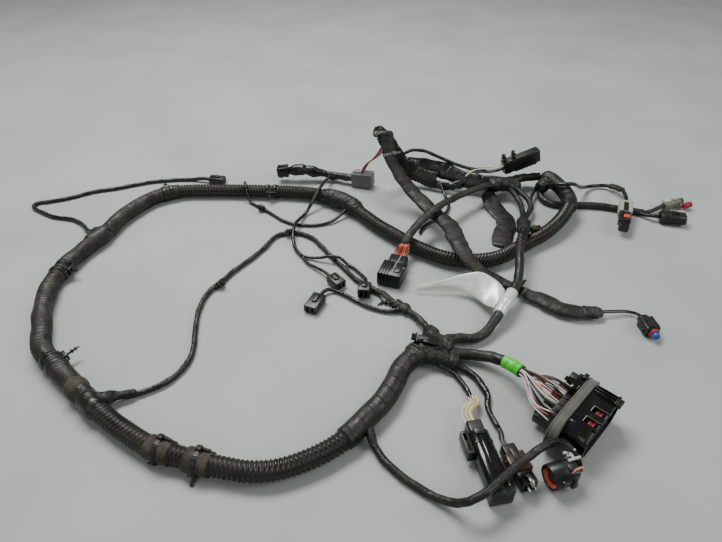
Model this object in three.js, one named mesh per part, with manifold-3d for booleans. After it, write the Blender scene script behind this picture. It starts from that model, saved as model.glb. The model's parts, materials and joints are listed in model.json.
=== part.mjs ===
// A vehicle's body wiring harness, laid out on a flat surface as it comes off the car.
// Millimetres, +Z up, +X to the right and +Y away from the viewer. The surface is z = 0, and the
// origin is the middle of the floor box that the laid-out harness covers.
import * as THREE from 'three';
import { mergeVertices } from 'three/addons/utils/BufferGeometryUtils.js';
import Module from 'manifold-3d';

const wasm = await Module();
wasm.setup();

// Clearances
const GAP = 0.3; // between pieces that touch
const TAPE = 1.5; // thickness of cloth tape wound over a lead
const SLOT = 2.4; // width of a terminal slot in a mating face

// Where the middle of the laid-out harness is, in the frame that the routes are written in
const LAY_CENTRE = [-81.4, -6.7];

// Trunk: corrugated conduit, and the tape wound over it
const CONDUIT_DIA = 22;
const TRUNK_TAPE_DIA = 25;
const FAR_END_DIA = 26;
const BAND_WIDTH = 28;
const BAND_THICKNESS = 1.2;
const TIE_WIDTH = 6;
const TIE_THICKNESS = 1.4;

// Places along the trunk, in millimetres from the front fork
const FRONT_TAIL_END = 158;
const BAND_1_AT = 356;
const BAND_2_AT = 312;
const SIDE_TAPE_START = 450;
const SIDE_TAPE_END = 1014;
const KNUCKLE_START = 1268;
const KNUCKLE_END = 1352;
const FAR_TAPE_LENGTH = 113;
const CLIP_PLACES = { left: 606, upperLeft: 790, corner: 994, rear: 1176 };

// Leads: diameters of the taped branches
const LEAD_A_DIA = 5.5;
const LEAD_B_DIA = 6;
const LEAD_C_DIA = 4.5;
const LEAD_D_DIA = 5;
const LEAD_E_DIA = 4;
const LEAD_F_DIA = 12;
const LEAD_G_DIA = 14;
const LEAD_H_DIA = 8;
const STRAND_DIA = 6;
const LEAD_I_DIA = 8.5;
const LEAD_M_WIDTH = 14;
const LEAD_M_THICKNESS = 7;
const STRAP_WIDTH = 22;
const STRAP_THICKNESS = 9;
const BACK_STRAP_WIDTH = 32;
const BACK_STRAP_THICKNESS = 6;
const RIBBON_WIDTH = 26;
const RIBBON_THICKNESS = 3;
const LINK_DIA = 15;
const ARC_DIA = 6;
const PLUG_LEAD_DIA = 17;
const RIGHT_THIN_DIA = 5;
const RIGHT_THICK_DIA = 9.5;
const WIRE_DIA = 3.2;
const FILM_THICKNESS = 0.8;

// How far the tape of a fork runs out along each lead
const NECK = {
  a: 30, b: 34, c: 14, e: 14, f: 38, g: 36, h: 36, hShort: 32, i: 24, m: 34, rearF: 30,
  sleeve: 34, link: 12, strand: 14, thin: 34, thick: 22,
};
const GREEN_TAPE_LENGTH = 26;
const CROSSING_START = -212;
const CROSSING_END = -110;

// Routes: points that a lead's middle passes through, chosen by hand
const TRUNK = [
  [-6, -132, 13], [-31, -154, 13], [-55, -202, 12.8], [-79, -232, 12.8], [-98, -255, 12.8],
  [-124, -274, 12.8], [-162, -290, 12.8], [-189, -293, 12.8], [-225, -287, 12.8],
  [-272, -274, 12.8], [-301, -263, 12.8], [-333, -244, 12.8], [-362, -224, 12.8],
  [-405, -188, 12.8], [-437, -160, 12.8], [-469, -130, 12.8], [-485, -97, 12.8],
  [-500, -62, 12.8], [-512, -18, 12.8], [-514, 11, 12.8], [-509, 46, 12.8], [-498, 84, 12.8],
  [-485, 119, 12.8], [-476, 162, 12.8], [-458, 203, 12.8], [-435, 233, 12.8],
  [-403, 249, 12.8], [-343, 253, 12.8], [-252, 250, 12.8], [-174, 243, 12.8],
  [-139, 229, 12.8], [-105, 206, 12.8], [-86, 181, 12.8], [-57, 142, 12.8], [-30, 113, 12.8],
  [-2, 84, 12.8], [34, 58, 12.8], [63, 48, 12.8], [102, 49, 12.8], [129, 59, 12.8],
  [143, 70, 12.8], [172, 92, 13], [199, 110, 15], [224, 131, 19], [249, 162, 23],
  [265, 196, 25], [264, 232, 26], [254, 262, 27], [242, 281, 27],
];
const LEAD_A = [
  [-485, 117, 12.8], [-500, 124, 11], [-521, 137, 5], [-542, 160, 3], [-561, 172, 3],
  [-597, 181, 3], [-626, 197, 3], [-646, 213, 3], [-644, 225, 3], [-624, 231, 3],
  [-596, 243, 3], [-560, 265, 3], [-528, 275, 3], [-499, 288, 3], [-469, 300, 3],
  [-446, 305, 3], [-412, 309, 3], [-388, 308, 5], [-374, 306, 7], [-362, 304, 7],
];
const LEAD_B = [
  [-379, -211, 12.8], [-367, -204, 12], [-356, -198, 9], [-345, -194, 5], [-326, -186, 4],
  [-308, -174, 4], [-298, -160, 4], [-291, -143, 4], [-290, -122, 4], [-295, -90, 4],
  [-299, -62, 4], [-299, -34, 4], [-293, -9, 4], [-287, -1, 4], [-267, 36, 4],
  [-247, 65, 4], [-231, 94, 4], [-217, 124, 4], [-197, 132, 4], [-181, 131, 4],
  [-160, 118, 4], [-143, 94, 4], [-127, 68, 4], [-108, 41, 4], [-89, 13, 4],
  [-72, -3, 4], [-54, -18, 4], [-37, -39, 4], [-22, -52, 5], [-9, -69, 7], [0, -88, 9],
  [5, -108, 12], [0, -126, 13],
];
const LEAD_C = [
  [-141, 311, 11], [-141, 299, 14], [-146, 268, 24], [-152, 240, 28], [-157, 224, 27],
  [-166, 206, 16], [-176, 190, 5], [-184, 165, 9], [-188, 149, 12], [-190, 131, 13],
  [-190, 114, 8], [-183, 88, 4], [-172, 70, 4],
];
const LEAD_C_OVER = [
  [-172, 70, 4], [-158, 66, 4], [-143, 62, 7], [-129, 60, 11], [-115, 57, 10.5], [-103, 50, 4],
  [-90, 37, 4], [-80, 20, 5], [-76, 7, 10], [-76, 0, 11], [-77, -8, 11],
];
const LEAD_C_PLUG = [
  [-172, 70, 4], [-162, 53, 4], [-148, 40, 5], [-136, 28, 7], [-126, 16, 7],
];
const LEAD_D = [
  [-28, -47, 5], [-36, -52, 5], [-48, -53, 4], [-72, -44, 4], [-88, -33, 4], [-107, -18, 4],
  [-119, -11, 4], [-129, -11, 6], [-135, -17, 7], [-139, -26, 7],
];
const LEAD_E = [
  [-286, 254, 28], [-283, 242, 25], [-280, 235, 14], [-275, 228, 4], [-247, 203, 3],
  [-227, 184, 3], [-211, 169, 3], [-188, 158, 3], [-157, 156, 3], [-132, 165, 4],
  [-118, 178, 8], [-108, 190, 12],
];
const LEAD_F = [
  [-6, -132, 13], [14, -118, 12], [37, -108, 9], [58, -107, 8], [72, -100, 9], [84, -87, 13],
  [102, -62, 20], [115, -42, 22], [129, -19, 24], [138, 9, 29], [143, 33, 33], [149, 55, 33.5],
  [158, 82, 33.5], [165, 102, 31], [172, 124, 23], [180, 156, 15], [187, 192, 13], [186, 218, 15],
  [177, 240, 21], [162, 252, 25],
];
const LEAD_F_RIGHT = [
  [178, 150, 17], [192, 172, 14], [203, 196, 14], [202, 218, 16], [191, 238, 20],
  [177, 250, 24], [162, 256, 26],
];
const LEAD_G = [
  [-6, -132, 13], [12, -134, 12], [33, -135, 10], [54, -138, 11], [73, -146, 15],
  [86, -158, 20], [99, -178, 26],
];
const LEAD_H = [
  [-4, -134, 12], [20, -147, 9], [36, -152, 5], [48, -163, 4], [56, -179, 4], [60, -195, 4],
  [57, -207, 4], [59, -222, 4], [63, -236, 5],
];
const LEAD_H_SHORT = [
  [-4, -134, 11], [12, -152, 8], [24, -159, 5], [32, -171, 4], [38, -186, 4], [41, -200, 5],
];
const LEAD_I = [
  [-79, -232, 12.8], [-74, -246, 11], [-69, -260, 6], [-61, -273, 4], [-47, -289, 4],
  [-30, -303, 4], [-12, -315, 5], [4, -325, 13], [16, -330, 26], [28, -326, 30],
  [39, -318, 30], [60, -301, 30], [78, -289, 32], [90, -281, 33], [100, -275, 32],
];
const BLADE_WIRES = [[63, -236, 5], [64, -246, 7], [62.5, -255, 9.5], [65, -264, 9.8]];
const LEAD_M = [
  [162, 253, 25], [150, 250, 27], [135, 241, 29], [95, 210, 33], [62, 178, 37], [38, 151, 40],
  [17, 126, 38], [-4, 96, 34], [-16, 74, 31], [-21, 66, 22],
];
const STRAP_FRONT = [
  [-40, 268, 118], [-38, 262, 104], [-34, 247, 80], [-17, 229, 54], [4, 207, 36],
  [32, 163, 26], [54, 120, 27], [60, 76, 30], [67, 36, 30], [81, 20, 21], [102, 11, 11],
  [118, 3, 7.5], [130, -5, 7], [145, -19, 7], [164, -34, 7], [188, -55, 8], [211, -59, 8],
  [236, -59, 8],
];
const STRAP_BACK = [
  [-40, 269, 119], [-41, 276, 122], [-43, 286, 119], [-46, 294, 106], [-30, 297, 74],
  [-11, 297, 46], [10, 292, 28], [42, 280, 22],
];
const SLEEVE_UPPER = [
  [-2, 297, 38], [24, 300, 36], [58, 294, 33], [91, 277, 26], [122, 262, 23], [160, 254, 25],
];
const SLEEVE_LOWER = [[10, 292, 24], [25, 286, 16], [49, 276, 12], [73, 266, 14], [97, 262, 20]];
const STUB = [
  [60, 270, 14], [66, 247, 5], [68, 214, 4], [57, 187, 4], [44, 172, 4], [20, 152, 4],
  [10, 132, 4],
];
const ARC = [
  [-8, 303, 58], [9, 306, 64], [31, 306, 62], [57, 303, 52], [88, 292, 43], [112, 282, 40],
  [138, 276, 40],
];
const MULTI_WIRES = [
  [100, 272, 26], [112, 279, 33], [128, 279, 37], [145, 277, 38], [158, 278, 40], [169, 281, 43],
];
const RIBBON = [
  [137, 247, 17], [139, 234, 13], [143, 219, 8], [149, 199, 4], [155, 181, 3], [154, 156, 3], [143, 124, 3],
  [134, 96, 3],
];
const LINK = [[162, 258, 23], [181, 278, 18], [206, 289, 17], [226, 288, 20], [240, 284, 24]];
const STRAND = [[196, 180, 15], [208, 218, 14], [220, 246, 12], [232, 266, 16], [242, 280, 24]];
const RIGHT_THIN = [
  [250, 266, 27], [241, 246, 26], [247, 229, 38], [261, 219, 44], [277, 224, 41], [298, 244, 24],
  [326, 274, 8], [352, 282, 6], [368, 274, 9], [375, 258, 13], [374, 236, 18], [368, 213, 20],
  [361, 196, 19],
];
const RIGHT_THICK = [
  [250, 266, 26], [235, 254, 14], [233, 238, 7], [242, 221, 6], [262, 214, 5], [291, 214, 5],
  [329, 211, 5], [361, 200, 5], [392, 190, 5],
];
const RIGHT_UPPER = [[380, 194, 5], [396, 192, 5], [412, 197, 6], [428, 205, 8], [440, 210, 8]];
const RIGHT_LOWER = [[380, 194, 5], [390, 184, 6], [400, 175, 9], [411, 172, 9.5]];
const PLUG_LEAD = [[-216, 311, 21], [-203, 311, 22], [-185, 311, 22], [-157, 311, 16], [-137, 310, 11]];
const GREY_LEAD = [[-146, 311, 11.5], [-130, 309, 11], [-115, 302, 13], [-98, 296.5, 14]];
const SIGNAL_WIRES = [[236, -59, 8], [252, -57, 7], [270, -55, 5], [281, -59, 5], [284, -68, 6]];
const FUSE_WIRES = [
  [41, -200, 5], [44, -209, 8], [40, -218, 12], [34, -224, 12.4], [33, -229, 12], [34.5, -238, 12],
];

const LABEL_FLAG = [
  [[110.2, -32.8, 23], [101.2, -47.8, 22], [89.2, -63.8, 19]],
  [[99, -16, 29], [90, -30, 24], [78, -44, 12]],
  [[84, -6, 32], [77, -17, 24], [66, -24, 9]],
  [[62, -3, 29], [55, -12, 20], [48, -16, 8]],
  [[34, -6, 20], [31, -11, 14], [28, -13, 6]],
  [[-6, -8, 11], [-8, -10, 8], [-9, -12, 5]],
];

// Finishes
const finish = (color, roughness, metalness = 0) => (
  new THREE.MeshStandardMaterial({ color, roughness, metalness })
);
const CONDUIT = finish(0x1b1a18, 0.55);
const CLOTH_TAPE = finish(0x1d1c1a, 0.85);
const BROWN_TAPE = finish(0x3a3028, 0.9);
const VINYL_TAPE = finish(0x161616, 0.5);
const BLACK_NYLON = finish(0x121314, 0.45);
const GREY_RUBBER = finish(0x6d716c, 0.8);
const RED_PLASTIC = finish(0x8c1b1f, 0.45);
const BLUE_PLASTIC = finish(0x24479b, 0.45);
const ORANGE_PLASTIC = finish(0xd8501d, 0.45);
const GREEN_TAPE = finish(0x49c92c, 0.5);
const GREEN_PLASTIC = finish(0x1d4a37, 0.5);
const WHITE_PLASTIC = finish(0xc9c9bf, 0.5);
const GREY_PLASTIC = finish(0x8d8f8c, 0.55);
const SILVER_FILM = finish(0xcfd0cb, 0.4);
const WIRE_MIX = finish(0xb9977c, 0.5);

const harness = new THREE.Group();
harness.position.set(-LAY_CENTRE[0], -LAY_CENTRE[1], 0);

function add(name, geometry, material, parent = harness) {
  const mesh = new THREE.Mesh(geometry, material);
  mesh.name = name;
  parent.add(mesh);
}

// Booleans
function solidOf(geometry) {
  const bare = geometry.clone();
  bare.deleteAttribute('normal');
  bare.deleteAttribute('uv');
  const merged = mergeVertices(bare, 1e-4);
  return new wasm.Manifold(new wasm.Mesh({
    numProp: 3,
    vertProperties: new Float32Array(merged.attributes.position.array),
    triVerts: new Uint32Array(merged.index.array),
  }));
}

function geometryOf(solid) {
  const mesh = solid.getMesh();
  const indexed = new THREE.BufferGeometry();
  indexed.setAttribute('position', new THREE.BufferAttribute(mesh.vertProperties, 3));
  indexed.setIndex(new THREE.BufferAttribute(mesh.triVerts, 1));
  const geometry = indexed.toNonIndexed();
  geometry.computeVertexNormals();
  return geometry;
}

function fuse(first, ...others) {
  return geometryOf(others.reduce((sum, other) => sum.add(solidOf(other)), solidOf(first)));
}

function cut(first, ...tools) {
  return geometryOf(tools.reduce((rest, tool) => rest.subtract(solidOf(tool)), solidOf(first)));
}

// A route that never dips under the surface it lies on
class Route extends THREE.CatmullRomCurve3 {
  constructor(points, thickness) {
    super(points.map((point) => new THREE.Vector3(...point)), false, 'centripetal');
    this.lowest = thickness / 2;
    this.arcLengthDivisions = 16 * points.length;
  }

  getPoint(t, target = new THREE.Vector3()) {
    super.getPoint(t, target);
    target.z = Math.max(target.z, this.lowest);
    return target;
  }
}

// A length of a route, between two distances along it, that keeps its section level
class Stretch extends THREE.Curve {
  constructor(route, from, to, facing) {
    super();
    this.route = route;
    this.length = route.getLength();
    this.from = from < 0 ? this.length + from : from;
    this.to = to <= 0 ? this.length + to : to;
    this.facing = facing;
  }

  get span() {
    return this.to - this.from;
  }

  getPoint(t, target) {
    return this.route.getPointAt((this.from + t * this.span) / this.length, target);
  }

  computeFrenetFrames(segments) {
    const frames = { tangents: [], normals: [], binormals: [] };
    for (let i = 0; i <= segments; i += 1) {
      const tangent = this.getTangentAt(i / segments);
      const side = new THREE.Vector3().crossVectors(tangent, this.facing).normalize();
      frames.tangents.push(tangent);
      frames.binormals.push(side);
      frames.normals.push(new THREE.Vector3().crossVectors(side, tangent).normalize());
    }
    return frames;
  }
}

const UP = new THREE.Vector3(0, 0, 1);
const TOWARDS_VIEWER = new THREE.Vector3(0, -1, 0.5).normalize();

// An upright oval or round section: its x runs through the thickness, its y across the width
function ovalSection(width, thickness) {
  const sides = Math.max(width, thickness) < 12.5 ? 8 : 12;
  const points = [];
  for (let i = 0; i < sides; i += 1) {
    const angle = (2 * Math.PI * i) / sides;
    points.push(new THREE.Vector2(
      (thickness / 2) * Math.cos(angle),
      (width / 2) * Math.sin(angle),
    ));
  }
  return new THREE.Shape(points);
}

// A tube along a route from one distance to another; 0 as the end means the route's own end.
// The same tube grown by a clearance has the same facets, so it cuts a neighbour clear of it.
function tube(points, from, to, width, thickness = width, facing = UP, grow = 0) {
  const stretch = new Stretch(new Route(points, thickness), from, to, facing);
  const stepLength = Math.max(16, 2.2 * width);
  return new THREE.ExtrudeGeometry(ovalSection(width + 2 * grow, thickness + 2 * grow), {
    extrudePath: stretch,
    steps: Math.max(2, Math.round(stretch.span / stepLength)),
    bevelEnabled: false,
  });
}

// Blocks whose length runs along x, from x = 0
function roundedOutline(width, height, radius, corner = 3) {
  const y = width / 2;
  const z = height / 2;
  const shape = new THREE.Shape();
  shape.moveTo(-z + radius, -y);
  shape.lineTo(z - radius, -y);
  shape.absarc(z - radius, -y + radius, radius, -Math.PI / 2, 0, false);
  shape.lineTo(z, y - radius);
  shape.absarc(z - radius, y - radius, radius, 0, Math.PI / 2, false);
  shape.lineTo(-z + radius, y);
  shape.absarc(-z + radius, y - radius, radius, Math.PI / 2, Math.PI, false);
  shape.lineTo(-z, -y + radius);
  shape.absarc(-z + radius, -y + radius, radius, Math.PI, 1.5 * Math.PI, false);
  return new THREE.Shape(shape.getPoints(corner));
}

function bar(length, width, height, radius, x = 0, y = 0, z = 0) {
  const geometry = new THREE.ExtrudeGeometry(roundedOutline(width, height, radius), {
    depth: length,
    bevelEnabled: false,
  });
  return geometry.rotateY(Math.PI / 2).translate(x, y, z);
}

function block(length, width, height, x = 0, y = 0, z = 0) {
  return new THREE.BoxGeometry(length, width, height).translate(x + length / 2, y, z);
}

function rod(diameter, length, x = 0, y = 0, z = 0, sides = 16) {
  return new THREE.CylinderGeometry(diameter / 2, diameter / 2, length, sides)
    .rotateZ(-Math.PI / 2).translate(x + length / 2, y, z);
}

function ring(outer, inner, length, x = 0) {
  return cut(rod(outer, length, x), rod(inner, length + 2, x - 1));
}

const endOf = (points) => points[points.length - 1];
const reversed = (points) => [...points].reverse();

// A group whose x axis points the way a connector is plugged in
function connector(position, yaw, pitch = 0, roll = 0) {
  const group = new THREE.Group();
  group.position.set(...position);
  group.rotation.set(
    THREE.MathUtils.degToRad(roll),
    THREE.MathUtils.degToRad(-pitch),
    THREE.MathUtils.degToRad(yaw),
    'ZYX',
  );
  harness.add(group);
  return group;
}

// A connector that carries straight on from the end of a lead
function connectorAfter(points, roll = 0) {
  const route = new Route(points, 0);
  const ahead = route.getTangentAt(1);
  const yaw = THREE.MathUtils.radToDeg(Math.atan2(ahead.y, ahead.x));
  const pitch = THREE.MathUtils.radToDeg(Math.asin(ahead.z));
  return connector(endOf(points), yaw, pitch, roll);
}

// A point given in a connector's own frame, in the frame of the routes
function placeOn(group, x, y, z) {
  group.updateMatrix();
  return new THREE.Vector3(x, y, z).applyMatrix4(group.matrix).toArray();
}

// A fir-tree clip: a stud with barbed plates that pushes into a hole in the car body
function firTree(length, plateDia) {
  const stud = new THREE.CylinderGeometry(1.4, 1.8, length, 6).translate(0, length / 2, 0);
  const plates = [0.6, 0.95].map((share) => (
    new THREE.CylinderGeometry(plateDia * 0.3, plateDia / 2, 1.8, 6)
      .translate(0, share * length - 0.9, 0)
  ));
  return fuse(stud, ...plates);
}

// The clip's saddle sits on a lead at a distance along its route, and its stud leans away
function clipAt(points, distance, width, lean, studLength = 11) {
  const half = 5;
  const stretch = new Stretch(new Route(points, width), distance - half, distance + half, UP);
  const place = stretch.getPointAt(0.5);
  const tangent = stretch.getTangentAt(0.5);
  const side = new THREE.Vector3().crossVectors(tangent, UP).normalize();
  const direction = side.multiplyScalar(Math.cos(lean)).addScaledVector(UP, Math.sin(lean));
  const turn = new THREE.Quaternion().setFromUnitVectors(new THREE.Vector3(0, 1, 0), direction);
  const stud = firTree(studLength + width / 2, 7).applyQuaternion(turn)
    .translate(place.x, place.y, place.z);
  const saddle = tube(points, distance - half, distance + half, width + TAPE);
  return fuse(saddle, stud);
}

// The trunk, from the front fork round the loop to the taped far end
const trunkStretch = (from, to, dia) => tube(TRUNK, from, to, dia);
const conduitSpan = [FRONT_TAIL_END + GAP, SIDE_TAPE_START - GAP];

add('front_conduit', trunkStretch(...conduitSpan, CONDUIT_DIA), CONDUIT);
add('side_taped_trunk', fuse(
  trunkStretch(SIDE_TAPE_START, SIDE_TAPE_END, TRUNK_TAPE_DIA),
  tube(LEAD_B, 0, NECK.b, LEAD_B_DIA + 2 * TAPE),
  tube(LEAD_A, 0, NECK.a, LEAD_A_DIA + 2 * TAPE),
  clipAt(TRUNK, CLIP_PLACES.left, TRUNK_TAPE_DIA - 4, 0.1),
  clipAt(TRUNK, CLIP_PLACES.upperLeft, TRUNK_TAPE_DIA - 4, 0.1),
  clipAt(TRUNK, CLIP_PLACES.corner, TRUNK_TAPE_DIA - 4, Math.PI - 0.3),
), CLOTH_TAPE);
add('rear_conduit', fuse(
  trunkStretch(SIDE_TAPE_END + GAP, KNUCKLE_START - GAP, CONDUIT_DIA),
  clipAt(TRUNK, CLIP_PLACES.rear, CONDUIT_DIA - 3, 0.1),
), CONDUIT);
add('knuckle_tape', fuse(
  trunkStretch(KNUCKLE_START, KNUCKLE_END, TRUNK_TAPE_DIA),
  tube(LEAD_E, -NECK.e, 0, LEAD_E_DIA + TAPE),
), CLOTH_TAPE);
add('far_conduit', trunkStretch(KNUCKLE_END + GAP, -FAR_TAPE_LENGTH - GAP, CONDUIT_DIA), CONDUIT);
add('far_end_tape', fuse(
  trunkStretch(-FAR_TAPE_LENGTH, 0, FAR_END_DIA),
  tube(LINK, -NECK.link, 0, LINK_DIA + TAPE),
  tube(RIGHT_THIN, 0, NECK.thin, RIGHT_THIN_DIA + TAPE),
  tube(RIGHT_THICK, 0, NECK.thick, RIGHT_THICK_DIA + TAPE),
  tube(STRAND, -NECK.strand, 0, STRAND_DIA + TAPE),
), CLOTH_TAPE);

// Clamp bands on the front conduit: a turn of tape, and a ladder tie with its locking head
[[1, BAND_1_AT], [2, BAND_2_AT]].forEach(([number, place]) => {
  const inner = CONDUIT_DIA + 2 * GAP;
  const tapeDia = inner + 2 * BAND_THICKNESS;
  const tieDia = tapeDia + 2 * TIE_THICKNESS;
  const clear = tube(TRUNK, ...conduitSpan, CONDUIT_DIA, CONDUIT_DIA, UP, GAP);
  const tape = trunkStretch(place - BAND_WIDTH / 2, place + BAND_WIDTH / 2, tapeDia);
  const tie = trunkStretch(place - TIE_WIDTH / 2, place + TIE_WIDTH / 2, tieDia);
  const centre = new Stretch(new Route(TRUNK, CONDUIT_DIA), place - 1, place + 1, UP).getPointAt(0.5);
  const head = new THREE.BoxGeometry(TIE_WIDTH + 3, 9, 6)
    .translate(centre.x + 2, centre.y + 4, centre.z + tieDia / 2);
  const belowFloor = new THREE.BoxGeometry(80, 80, 40).translate(centre.x, centre.y, -20);
  add(`clamp_band_${number}`, cut(fuse(tape, tie, head), clear, belowFloor), BROWN_TAPE);
});

// Front fork: one winding of cloth tape over the trunk and the first bit of every branch
add('fork_tape', fuse(
  trunkStretch(0, FRONT_TAIL_END, TRUNK_TAPE_DIA),
  tube(LEAD_F, 0, NECK.f, LEAD_F_DIA + 2 * TAPE),
  tube(LEAD_G, 0, NECK.g, LEAD_G_DIA + 2 * TAPE),
  tube(LEAD_H, 0, NECK.h, LEAD_H_DIA + 2 * TAPE),
  tube(LEAD_H_SHORT, 0, NECK.hShort, LEAD_H_DIA + 2 * TAPE),
  tube(LEAD_B, -NECK.b, 0, LEAD_B_DIA + 2 * TAPE),
  tube(LEAD_I, 0, NECK.i, LEAD_I_DIA + 2 * TAPE),
  new THREE.BoxGeometry(20, 13, 6).rotateZ(-0.5).translate(-4, -131, 25),
  firTree(24, 11).rotateZ(0.7).translate(-4, -131, 25),
), CLOTH_TAPE);

// Leads that leave the trunk on the left
add('lead_a', tube(LEAD_A, NECK.a + GAP, 0, LEAD_A_DIA), VINYL_TAPE);
add('lead_b', fuse(
  tube(LEAD_B, NECK.b + GAP, -NECK.b - GAP, LEAD_B_DIA),
  clipAt(LEAD_B, 268, LEAD_B_DIA, 0.6, 8),
  clipAt(LEAD_B, 428, LEAD_B_DIA, 0.9, 8),
  tube(LEAD_D, 0, 12, LEAD_D_DIA + TAPE),
  tube(LEAD_D, 8, 0, LEAD_D_DIA),
), VINYL_TAPE);
add('lead_c', fuse(
  tube(LEAD_C, NECK.c, 0, LEAD_C_DIA),
  tube(LEAD_C_OVER, 0, 0, LEAD_C_DIA - 1),
  tube(LEAD_C_PLUG, 0, 0, LEAD_C_DIA - 1),
), VINYL_TAPE);
add('lead_e', tube(LEAD_E, 0, -NECK.e - GAP, LEAD_E_DIA), VINYL_TAPE);

// Leads that leave the front fork
const leadFSpan = [NECK.f + GAP, CROSSING_START];
add('lead_f', tube(LEAD_F, ...leadFSpan, LEAD_F_DIA), CLOTH_TAPE);
add('crossing_tape', fuse(
  tube(LEAD_F, CROSSING_START + GAP, CROSSING_END, LEAD_F_DIA + 2 * TAPE),
  tube(LEAD_F, CROSSING_END - 2, -NECK.rearF, LEAD_F_DIA - 3),
  tube(LEAD_F_RIGHT, 0, -NECK.rearF, LEAD_F_DIA - 3),
  tube(STRAND, 0, -NECK.strand - GAP, STRAND_DIA),
), CLOTH_TAPE);
add('lead_g', tube(LEAD_G, NECK.g + GAP, -GREEN_TAPE_LENGTH, LEAD_G_DIA), CLOTH_TAPE);
add('green_tape', tube(LEAD_G, -GREEN_TAPE_LENGTH + GAP, 0, LEAD_G_DIA + TAPE), GREEN_TAPE);
add('lead_h', fuse(
  tube(LEAD_H, NECK.h + GAP, 0, LEAD_H_DIA),
  tube(BLADE_WIRES, 0, 0, WIRE_DIA),
), VINYL_TAPE);
add('lead_h_short', fuse(
  tube(LEAD_H_SHORT, NECK.hShort + GAP, 0, LEAD_H_DIA),
  tube(FUSE_WIRES, 0, 0, WIRE_DIA),
  tube(FUSE_WIRES.map(([x, y, z]) => [x + 1.6, y, z + 1]), 0, 0, WIRE_DIA),
), VINYL_TAPE);

// The label: a silver wrap round the lead, and the blank flag that curls away from it
const WRAP_START = 124;
const WRAP_END = 168;
const WRAP_DIA = 16;
add('label_wrap', cut(
  tube(LEAD_F, WRAP_START, WRAP_END, WRAP_DIA),
  tube(LEAD_F, ...leadFSpan, LEAD_F_DIA, LEAD_F_DIA, UP, GAP),
), SILVER_FILM);

// A thin sheet over rows of points, each row running from the far edge to the near edge
function sheet(rows, thickness) {
  const columns = rows[0].length;
  const positions = [];
  const lift = [thickness / 2, -thickness / 2];
  const corner = (side, i, j) => [rows[i][j][0], rows[i][j][1], rows[i][j][2] + lift[side]];
  const quad = (a, b, c, d) => positions.push(...a, ...b, ...c, ...a, ...c, ...d);
  for (let i = 0; i < rows.length - 1; i += 1) {
    for (let j = 0; j < columns - 1; j += 1) {
      quad(corner(0, i, j), corner(0, i + 1, j), corner(0, i + 1, j + 1), corner(0, i, j + 1));
      quad(corner(1, i, j), corner(1, i, j + 1), corner(1, i + 1, j + 1), corner(1, i + 1, j));
    }
    quad(corner(0, i, 0), corner(1, i, 0), corner(1, i + 1, 0), corner(0, i + 1, 0));
    const last = columns - 1;
    quad(corner(0, i + 1, last), corner(1, i + 1, last), corner(1, i, last), corner(0, i, last));
  }
  [0, rows.length - 1].forEach((i) => {
    for (let j = 0; j < columns - 1; j += 1) {
      const ends = [corner(0, i, j), corner(0, i, j + 1), corner(1, i, j + 1), corner(1, i, j)];
      quad(...(i === 0 ? ends : ends.reverse()));
    }
  });
  const geometry = new THREE.BufferGeometry();
  geometry.setAttribute('position', new THREE.Float32BufferAttribute(positions, 3));
  geometry.computeVertexNormals();
  return geometry;
}

add('label_flag', sheet(LABEL_FLAG, FILM_THICKNESS), SILVER_FILM);

// Rear tangle
const flat = (points, from, to, width, thickness) => (
  tube(points, from, to, width, thickness, TOWARDS_VIEWER)
);
add('rear_fork_tape', fuse(
  tube(LEAD_M, 0, NECK.m, LEAD_M_WIDTH + TAPE, LEAD_M_THICKNESS + 2 * TAPE),
  tube(LEAD_F, -NECK.rearF + GAP, 0, LEAD_F_DIA),
  tube(LEAD_F_RIGHT, -NECK.rearF + GAP, 0, LEAD_F_DIA),
  tube(LINK, 0, -NECK.link - GAP, LINK_DIA),
  flat(SLEEVE_UPPER, -NECK.sleeve, 0, 22, 12),
), CLOTH_TAPE);
add('rear_sleeves', fuse(
  flat(STRAP_BACK, 3.4, 0, BACK_STRAP_WIDTH, BACK_STRAP_THICKNESS),
  flat(SLEEVE_UPPER, 0, -NECK.sleeve - GAP, 34, 9),
  flat(SLEEVE_LOWER, 0, 0, 15, 9),
  tube(STUB, 0, 0, LEAD_C_DIA),
  tube(ARC, 0, 0, ARC_DIA),
  tube(MULTI_WIRES, 0, -GAP, 9),
), CLOTH_TAPE);
add('strap_front', fuse(
  tube(STRAP_FRONT, 0, 0, STRAP_WIDTH, STRAP_THICKNESS),
  tube(SIGNAL_WIRES, 0, 0, WIRE_DIA),
  tube(SIGNAL_WIRES.map(([x, y, z]) => [x, y + 2.4, z]), 0, 0, WIRE_DIA),
), BROWN_TAPE);
add('flat_ribbon', tube(RIBBON, 0, 0, RIBBON_WIDTH, RIBBON_THICKNESS), VINYL_TAPE);
add('plug_lead', fuse(
  tube(PLUG_LEAD, 0, 0, PLUG_LEAD_DIA),
  flat(GREY_LEAD, 0, 0, 13, 9),
  tube(LEAD_C, 0, NECK.c - GAP, LEAD_C_DIA + TAPE),
), CLOTH_TAPE);

// Leads on the right
add('right_thin_lead', fuse(
  tube(RIGHT_THIN, NECK.thin + GAP, 0, RIGHT_THIN_DIA),
  tube(RIGHT_THIN, 200, 232, 14, 9),
), VINYL_TAPE);
add('right_thick_lead', fuse(
  tube(RIGHT_THICK, NECK.thick + GAP, 0, RIGHT_THICK_DIA),
  tube(RIGHT_UPPER, 0, 0, 7),
  tube(RIGHT_LOWER, 0, 0, 6),
), CLOTH_TAPE);

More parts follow.
